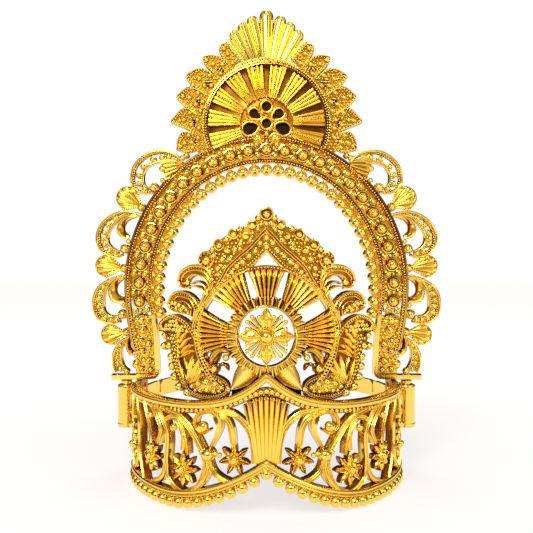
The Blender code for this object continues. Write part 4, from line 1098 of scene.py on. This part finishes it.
# %% The peacocks
BODY = (13, 25.9)
body_edge = arc(BODY, (4.9, 2.35), 0, 360)
body_beads = [(12.9, 26.9, 0.8), (14.9, 26.4, 0.68), (10.9, 26.5, 0.68), (12.8, 25.2, 0.6),
              (16.4, 25.7, 0.55), (14.4, 25, 0.5), (11.2, 25, 0.5), (9.4, 25.9, 0.5),
              (15.6, 24.9, 0.34), (10, 25.1, 0.34), (13.9, 26, 0.34), (11.9, 25.9, 0.34)]
peacock = [mound(BODY, (4.7, 2.2), 0.1, 1.9, 0.7), mound((13, 24.4), (5.0, 1.2), 0.1, 1.3, 0.6),
           *milled(body_edge, 0.6, 0.1, 1.9, 0.5),
           dots(body_edge * (1, 0.8) + (0, BODY[1] * 0.2), 0.2, 1.75, 0.55),
           *in_collars(body_beads, 1.85, 0.9, (0.2, 0.5, 1.85)),
           rail(curve([(16.9, 23.5), (13, 22.9), (9, 23.6)], 30), 0.5, round_wire(0.1, 1.7)),
           dots(curve([(17.2, 24.1), (13, 23.5), (8.8, 24.3)], 30), 0.24, 1.6, 0.62),
           bead([(8.1, 25.5), (18.3, 24.3)], 0.75, 1.3, 12, 6),
           leaf(curve([(12, 30.2), (11.6, 31.9), (10.2, 33.3), (8.4, 33.3), (7.6, 32.2)], 30),
                1.7, 0.2, 2.1, 0.8, groove=0.3, blunt=0.7),
           leaf(curve([(11.3, 30.6), (10.6, 31.8), (9.9, 32.5)], 14), 0.9, 0.2, 1.8, 0.5),
           leaf(curve([(9.2, 30.7), (8.5, 30.2), (8.1, 29.3)], 10), 0.8, 0.3, 1.6, 0.4),
           bead([(8.5, 32)], 0.75, 1.6, 12, 6), bead([(11.2, 29.6)], 0.9, 1.5, 12, 6),
           collar([(11.2, 29.6)], 0.8, 0.25, 0.2, 1.5),
           bead([(9.3, 30.7), (10.2, 30.4)], 0.42, 1.4, 8, 4),
           rail(curve([(12, 30.4), (10.6, 30.2), (9.2, 30.6)], 12), 0.7, round_wire(0.1, 1.4)),
           rail(curve([(11.6, 29.6), (11.4, 28.6), (11.8, 27.8)], 12), 1.2, round_wire(0.1, 1.5))]
hub_leaf = web(curve([(7.5, 25.9), (7.2, 27.9), (6.6, 29.4), (5.7, 31)], 24),
               curve([(7.4, 25.2), (5.2, 25.8), (3.3, 26.9), (1.4, 28.7)], 24),
               [0, 0.1, 0.35, 0.65, 0.9, 1], [0.9, 1.3, 1.6, 1.6, 1.3, 0.9], 0.1)
# A near-black sheet under the hub leaf and above the band's rim: painted shade.
shade = web(curve([(7.6, 25.6), (5, 26.5), (3, 27.6), (0.9, 29.4)], 24),
            curve([(7.8, 22.6), (5, 23.6), (2.6, 25.2), (0.2, 27.4)], 24), [0, 1], [0.4, 0.4])

piece("crest_wheel", widened(wheel), "crest", DEEP_PAINTED_SHADE, 0.9, 1.7)
piece("crest_floors", both(crest_floors), "crest", CAST, 1.0, 2.4)
piece("crest_point", point, "crest", BRIGHT, 0.85, 1.7)
piece("crest_plumes", both(plumes), "crest", BRIGHT, 0.9, 1.8)
piece("peacock_tails", both(tails), "crest", BRIGHT, 0.8, 1.8)
piece("peacocks", both(peacock), "crest", BRIGHT, 1.5, 2.4)
piece("hub_leaves", both([hub_leaf]), "crest", PLAIN, 0.2, 1.0)
piece("crest_shade", both([shade]), "crest", PAINTED_SHADE, 0.4, 1.6)

# %% [markdown]
# ## The band
#
# The band goes round the head's front and ends in two short straps. Its foot is a row of pearls
# that rises to the front, its rim a pair of rails that meets in a peak, and between them runs
# the scrollwork: flat ribbons, beads, open flowers and a fluted palmette in the middle. It is
# drawn as a flat strip, so that pearls keep their pitch and ribbons their width once rolled.

# %% The band's rims and pearls
REACH, CLEAR, NOTCH, END = (math.radians(degrees) * BAND_FACE for degrees in (99, 84, 113, 138))
PITCH, BAND_PEARLS = 2.46, 45
RIM_SECTION = [(-0.5, 0.0), (-0.5, 1.7), (-0.46, 2.0), (-0.36, 2.25), (-0.18, 2.4), (0.02, 2.38),
               (0.15, 2.2), (0.2, 1.95), (0.26, 1.95), (0.3, 2.15), (0.38, 2.25), (0.46, 2.15),
               (0.5, 1.9), (0.5, 0.0)]


def rim_line(side, drop, top=22.5, peak=6.6, length=6.2, power=1.15):
    """The rim's upper edge, with an ogee peak at the front, lowered by drop."""
    return np.stack([side, top + peak * np.exp(-(np.abs(side) / length) ** power) - drop], axis=1)


def foot_line(side, raised, low=1.107, lobe=7.9, half=24.0):
    """The line through the lowest pearls, which rises to the front, raised."""
    rise = np.clip(1 - np.abs(side) / half, 0, None) ** 2
    return np.stack([side, low + lobe * rise + raised], axis=1)


wide = np.geomspace(REACH, 0.02, 130)
wide = np.concatenate([-wide, wide[::-1]])
narrow = wide[np.abs(wide) < CLEAR]
row_path = whole(curve([(CLEAR, 20.45), (40, 20.5), (27, 20.5), (19, 20.8), (15, 21.1),
                        (11.6, 21.6), (8.6, 22.3), (5.8, 23.4), (3.3, 24.6), (1.4, 25.4),
                        (0, 25.7)], 200))
rims = [sheet(rim_line(wide, 0.1), rim_line(wide, 1.3), PLATE),
        rail(rim_line(narrow, 0.68), 1.5, RIM_SECTION),
        rail(even(row_path, 300), 1.35, flat_wire(0.0, 1.15)),
        sheet(foot_line(wide, 2.65), foot_line(wide, 0.5), 1.2),
        rail(foot_line(narrow, 2.35), 0.9, round_wire(0.2, 2.3)),
        rail(foot_line(narrow, 1.55), 0.6, round_wire(0.2, 2.05))]
row_spots = even(row_path, 87)
centred = np.exp(-np.abs(row_spots[:, 0]) / 7) > 0.4
stops = (np.arange(BAND_PEARLS) - (BAND_PEARLS - 1) / 2) * PITCH
piece("band_rims", rims, "front_band", PLAIN, 0.9, 2.0)
piece("rim_beads", [bead(row_spots[~centred], 0.5, 1.4, 12, 6),
                    bead(row_spots[centred], 0.58, 1.4, 14, 7)], "front_band", BRIGHT, 1.3, 1.9)
piece("foot_pearls", [bead(foot_line(stops, 0.08), 1.21, 1.35, 16, 8),
                      bead(foot_line((stops[1:] + stops[:-1]) / 2, 0.9), 0.36, 1.4, 6, 3)],
      "front_band", BRIGHT, 0.3, 1.6)


# %% The band's scrollwork
def ribbon(points, width, start=0.8, end=0.6, high=2.05):
    """A flat ribbon of the scrollwork: upright sides, a raised line along each edge."""
    across = [-0.5, -0.5, -0.46, -0.38, -0.29, -0.23, -0.1, 0.06, 0.2, 0.27, 0.33, 0.4, 0.46,
              0.5, 0.5]
    under = [high, 0.3, 0.08, 0, 0.08, 0.42, 0.3, 0.26, 0.34, 0.44, 0.1, 0, 0.08, 0.3, high]
    return rail(curve(points), width, [(a, high - u) for a, u in zip(across, under)],
                taper(60, start, end))


# %% The ribbons' lines
RIBBONS = (
    ([(11.7, 17.6), (13, 16.8), (14.4, 17.4), (15.1, 18.8), (14.4, 20.3), (12.6, 21.1),
      (10.7, 21.3)], 0.85, 0.5, 1.0),
    ([(11.2, 21.2), (8.5, 20.2), (7.2, 18.3), (6.8, 16.1), (6.6, 13.8)], 1.35),
    ([(13, 21.5), (9.2, 21.5), (6.6, 21), (4.6, 19.5), (3.3, 17.6), (2.7, 15.4), (2.5, 13.4),
      (2.5, 11.2)], 1.35),
    ([(24, 20.6), (22.1, 20.3), (19.3, 19.7), (16.8, 18), (15.1, 15.9), (13.8, 14),
      (12.8, 12.2), (12.5, 10.2), (13, 8.1), (14.1, 6), (15.6, 4.3)], 1.55, 0.6, 0.7),
    ([(35, 21.4), (29.5, 21.4), (25.8, 20.3), (23.7, 18.2), (22.7, 15.9), (22.5, 13.6),
      (22.7, 11.2), (22.8, 8.8), (22.1, 6.2), (20.2, 4.6), (18, 3.9)], 1.35, 0.7, 0.7),
    ([(12.4, 11.4), (12.1, 9), (13.4, 6.6), (15.8, 4.7), (18, 4)], 1.2, 0.6, 0.7),
    ([(23.2, 18.2), (21.6, 19), (19.9, 19), (18.5, 17.6), (17.9, 15.4), (18.2, 12.6)],
     1.5, 0.5, 0.6),
    ([(19.6, 18.2), (17.5, 15), (16.9, 11.8)], 0.8),
    ([(11.9, 11.8), (11, 9.3), (9.2, 7.9), (6.6, 7.1)], 1.15),
    ([(28.4, 20.6), (25.9, 18.3), (24.6, 15.7), (26, 12.6)], 1.0),
    ([(31.4, 21), (29.6, 17.4), (28.6, 14.2), (28.3, 12.4)], 1.1),
    ([(36.6, 21.2), (34.9, 16), (34.4, 10), (31.4, 3.6)], 1.1),
    ([(22.8, 9.6), (24.4, 6), (27.4, 4.2), (31, 3.4)], 1.1),
    ([(38.6, 21.2), (42.6, 16), (43.4, 10), (40.4, 3.4)], 1.0),
    ([(34.4, 11), (36.4, 6), (40.8, 3.4)], 1.0),
    ([(52.6, 21.2), (46.6, 16.4), (45.6, 10), (48.6, 3.4)], 1.0),
    ([(44.4, 20.8), (43, 17.8), (42.6, 14.6)], 0.9),
    ([(45.2, 11.6), (48.6, 14.6), (52.8, 15.6)], 0.9),
    ([(45.2, 9.6), (49.6, 7.6), (53.6, 8.6)], 0.9))
post = np.column_stack([np.full(12, REACH - 0.6), np.linspace(1.4, 21.6, 12)])
ribbons = [ribbon(*numbers) for numbers in RIBBONS]
ribbons += [web(curve([(10.7, 21.3), (9.2, 19.9), (9, 17.9), (10.1, 15.6), (11.7, 13.2)], 50),
                curve([(12.6, 20.9), (11.3, 20.1), (10.4, 18.6), (10.6, 16.9), (11.9, 13.6)], 50),
                [0, 0.05, 0.2, 0.45, 0.8, 0.95, 1], [1.8, 2.15, 2.1, 1.6, 1.75, 1.9, 1.7]),
            rail(post, 1.2, flat_wire(0.0, PLATE))]
print(len(ribbons), "ribbons and posts on each side")


# %% The band's flowers and beads
def flower(centre, reach, count):
    """An open flower: slim pointed petals with a groove each, and a ball in a ring."""
    forms = []
    for angle in 90 + 360 / count * np.arange(count):
        forms += [leaf(polar(centre, np.linspace(0.8, reach, 18), angle), reach * 0.36, 0.2,
                       2.45, 1.1, groove=0.75, blunt=0.9),
                  rail(polar(centre, np.linspace(0.5, reach * 0.45, 5), angle + 180 / count),
                       0.5, round_wire(0.2, 1.8))]
    cup = [(0.02, 0.5), (1.15, 0.5), (1.15, 2.0), (1.0, 2.3), (0.85, 2.2), (0.02, 2.1)]
    return forms + [turned([centre], cup), bead([centre], 0.82, 2.3, 16, 8)]


flowers = [form for numbers in (((6.5, 11.9), 3.4, 7), ((18.2, 8.7), 3.7, 8),
                                ((28.4, 9.6), 3.5, 8), ((39.4, 9.6), 3.2, 8),
                                ((50.2, 11.6), 2.8, 7)) for form in flower(*numbers)]
volutes = [bead([(13, 18.1)], 1.1, 1.85, 16, 8), bead([(20.6, 17)], 0.85, 1.8, 14, 7),
           bead([(12, 12.5)], 1.35, 2.0, 18, 9), collar([(12, 12.5)], 1.0, 0.35, 0.2, 1.9),
           bead([(28.6, 18.4)], 0.75, 1.8, 12, 6), bead([(42.4, 13.4)], 1.1, 1.8, 14, 7),
           bead([(13.6, 12.9), (10.4, 12.9), (9.5, 12.6)], 0.55, 1.8),
           bead([(44.4, 12.4), (40.6, 13.9)], 0.6, 1.7, 8, 4)]
print(len(flowers), "forms of flowers on each side")


# %% The palmette and the back straps
def palmette(flutes):
    """A fluted fan on the centre line: the flutes are deep at its scalloped head and run out
    towards its narrow foot."""
    side = np.linspace(-1, 1, flutes * 10 + 1)
    arch = np.abs(np.sin(np.pi * (side + 1) / 2 * flutes)) ** 0.5
    head = np.stack([4.2 * side, 23.0 + 1.5 * (1 - side ** 2) + 0.4 * arch], axis=1)
    foot = np.stack([2.0 * side, 11.0 + 0.9 * (1 - np.abs(side))], axis=1)
    across = np.array([0, 0.03, 0.25, 0.5, 0.75, 0.93, 0.985, 1.0])
    depth = np.array([0.05, 0.05, 0.15, 0.45, 0.9, 1.0, 0.8, 0.5])
    top = 2.15 - 1.2 * depth * (1 - arch[:, None]) - np.array([0.5, 0.15, 0, 0, 0, 0, 0.15, 0.7])
    return web(foot, head, across, top)


edge = curve([(4.5, 22.9), (3.1, 17), (2.2, 11.2)], 30)
centre_forms = [palmette(7), rail(edge, 0.5, round_wire(0.0, 2.1)),
                rail(edge * (-1, 1), 0.5, round_wire(0.0, 2.1))]
strap_side = np.concatenate([np.linspace(REACH - 1.9, NOTCH - 0.32, 20), [NOTCH - 0.3, NOTCH + 0.3],
                             np.linspace(NOTCH + 0.32, NOTCH + 1.5, 5),
                             np.linspace(NOTCH + 2, END, 24)])
past = strap_side - NOTCH
strap_top = 20.0 - np.where(np.abs(past) < 0.31, 3.0, np.clip(1.3 - past, 0, 1.0) * (past > 0))
strap_top = strap_top - 0.8 * np.clip((strap_side - (END - 0.8)) / 0.8, 0, 1)
strap = web(np.column_stack([strap_side, np.full_like(strap_side, 15.9)]),
            np.column_stack([strap_side, strap_top]),
            [0, 0.04, 0.12, 0.88, 0.96, 1], [1.15, 1.42, 1.5, 1.5, 1.42, 1.15])

piece("band_ribbons", both(ribbons), "front_band", PLAIN, 0.7, 1.9)
piece("band_flowers", both(flowers), "front_band", BRIGHT, 1.2, 2.3)
piece("volute_beads", both(volutes), "front_band", BRIGHT, 0.8, 2.0)
piece("palmette", centre_forms, "front_band", DEEP_PAINTED_SHADE, 1.1, 1.95)
piece("back_straps", both([strap]), "front_band", PLAIN, -1.5, -0.5)

# %% [markdown]
# ## Barrels and pins
#
# The two barrels and the pins that stand in them are plain turned parts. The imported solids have
# ten sides, so the script turns smooth ones with the same sizes. A screw modifier could do it,
# but the skin over loops is at hand already: here the loops are rings, one above the other.


# %% Turned barrels and pins
def lathe(name, node, profile, finish, around=48):
    """An upright turned part on a node's axis; profile is a list of (radius, height)."""
    x, y, _ = (np.array(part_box(node)) / MM).mean(axis=0)
    radius, up = np.asarray(profile, float).T
    flat = polar((x, y), radius[:, None], np.linspace(0, 360, around, endpoint=False))
    return piece(name, [loft(flat, up[:, None])], node, finish, 10, 12)


low, high = barrel_low[2], barrel_high[2]
for side in ("left", "right"):
    pin_low, pin_high = (corner[2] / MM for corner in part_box("pin_" + side))
    lathe("barrel_" + side, "socket_" + side,
          [(1.5, low), (1.95, low + 0.05), (2.15, low + 0.25), (2.2, low + 0.5), (2.2, low + 0.9),
           (2.08, low + 1.05), (2.08, high - 1.2), (2.2, high - 1.0), (2.2, high - 0.35),
           (2.1, high - 0.12), (1.9, high), (1.45, high), (1.3, high - 0.15), (1.3, low + 1.1),
           (1.2, low + 1.0)], PLAIN)
    lathe("pin_" + side + "_turned", "pin_" + side,
          [(0.7, pin_low), (0.95, pin_low + 0.2), (1.0, pin_low + 0.5), (1.0, high + 0.3),
           (1.35, high + 0.32), (1.4, high + 0.45), (1.4, pin_high - 0.15), (1.2, pin_high)],
          PLAIN)

# %% [markdown]
# ## Light, floor and camera
#
# Polished gold shows what is round it. The room is a photographer's tent that is bright in
# front, warmer and dimmer towards the back, and has a dark patch where the camera stands. That
# patch draws the dark eye in each bead. The camera sees white paper behind the crown. It is
# level, in front of the crown, and 162 mm from the arch.

# %% Room
world = bpy.data.worlds.new("tent")
bpy.context.scene.world = world
world.use_nodes = True
room = world.node_tree
room.nodes.clear()
way = add(room, "ShaderNodeTexCoord").outputs["Generated"]
facing = add(room, "ShaderNodeVectorMath", {0: way, 1: (0, -1, 0)}, operation="DOT_PRODUCT")
half = add(room, "ShaderNodeMath", {0: facing.outputs["Value"], 1: 0.5, 2: 0.5},
           operation="MULTIPLY_ADD")
patch = add(room, "ShaderNodeValToRGB", {"Fac": half.outputs[0]})
ramp = patch.color_ramp.elements
ramp[0].position, ramp[0].color = 0.22, (0.04, 0.04, 0.04, 1)
ramp[1].position, ramp[1].color = 1.0, (0.02, 0.02, 0.02, 1)
for position, tint in ((0.44, (0.21, 0.16, 0.07)), (0.58, (0.37, 0.32, 0.18)),
                       (0.70, (0.56, 0.53, 0.42)), (0.82, (0.75, 0.74, 0.68)),
                       (0.94, (0.81, 0.81, 0.80)), (0.958, (0.32, 0.29, 0.22)),
                       (0.972, (0.06, 0.05, 0.03))):
    ramp.new(position).color = (*tint, 1)
tilt = add(room, "ShaderNodeSeparateXYZ", {0: way})
sky = add(room, "ShaderNodeMapRange", {"Value": tilt.outputs["Z"], "From Min": -0.6,
                                       "From Max": 0.8, "To Min": 0.45, "To Max": 1.1})
tent = add(room, "ShaderNodeBackground", {"Color": patch.outputs["Color"],
                                          "Strength": sky.outputs["Result"]})
paper = add(room, "ShaderNodeBackground", {"Color": (1, 1, 1, 1), "Strength": 1.0})
seen = add(room, "ShaderNodeLightPath").outputs["Is Camera Ray"]
either = add(room, "ShaderNodeMixShader", {0: seen, 1: tent.outputs[0], 2: paper.outputs[0]})
add(room, "ShaderNodeOutputWorld", {"Surface": either.outputs[0]})
print("room of", len(room.nodes), "nodes")


# %% Lamps and floor
def lamp(name, place, aim, size, power):
    """A soft square lamp at a place, turned to a point."""
    data = bpy.data.lights.new(name, "AREA")
    data.shape, data.size, data.energy = "SQUARE", size, power
    made = bpy.data.objects.new(name, data)
    bpy.context.scene.collection.objects.link(made)
    made.location = place
    beam = np.array(aim) - np.array(place)
    made.rotation_euler = (math.acos(-beam[2] / np.linalg.norm(beam)), 0,
                           math.atan2(beam[1], beam[0]) - math.pi / 2)


lamp("key", (-0.06, -0.24, 0.22), (0, 0, 0.06), 0.13, 0.62)
lamp("fill", (0.24, -0.20, 0.14), (0, 0, 0.05), 0.08, 0.12)
lamp("top", (0.0, 0.12, 0.42), (0, 0, 0.05), 0.2, 0.45)

bpy.ops.mesh.primitive_plane_add(size=4, location=(0, 0, 0))
floor = bpy.context.object
floor.name = "floor"
pale = bpy.data.materials.new("pale_floor")
pale.use_nodes = True
tree = pale.node_tree
# The floor glows evenly far off and less towards the crown: painted shade round the crown's foot.
spread = add(tree, "ShaderNodeMapping", {
    "Vector": add(tree, "ShaderNodeTexCoord").outputs["Object"], "Scale": (5, 5, 5)})
near = add(tree, "ShaderNodeTexGradient", {"Vector": spread.outputs["Vector"]},
           gradient_type="SPHERICAL")
glow_with_painted_shade = add(tree, "ShaderNodeMapRange", {"Value": near.outputs["Fac"], "To Min": 0.89,
                                        "To Max": 0.66})
feed(tree, tree.nodes["Principled BSDF"],
     {"Base Color": (0.3, 0.295, 0.29, 1), "Roughness": 0.9, "Emission Color": (1, 1, 1, 1),
      "Emission Strength": glow_with_painted_shade.outputs["Result"]})
floor.data.materials.append(pale)
print("room, three lamps and a floor")

# %% Camera
CAMERA_DISTANCE = 162.0
eye = bpy.data.cameras.new("eye")
eye.lens, eye.sensor_width = 43.77, 36
camera = bpy.data.objects.new("camera", eye)
bpy.context.scene.collection.objects.link(camera)
camera.location = (0, (AXIS_Y - CAMERA_DISTANCE) * MM, 0.05065)
camera.rotation_euler = (math.pi / 2, 0, 0)
bpy.context.scene.camera = camera
bpy.context.scene.view_settings.view_transform = "Standard"
print("camera", CAMERA_DISTANCE, "mm from the arch")
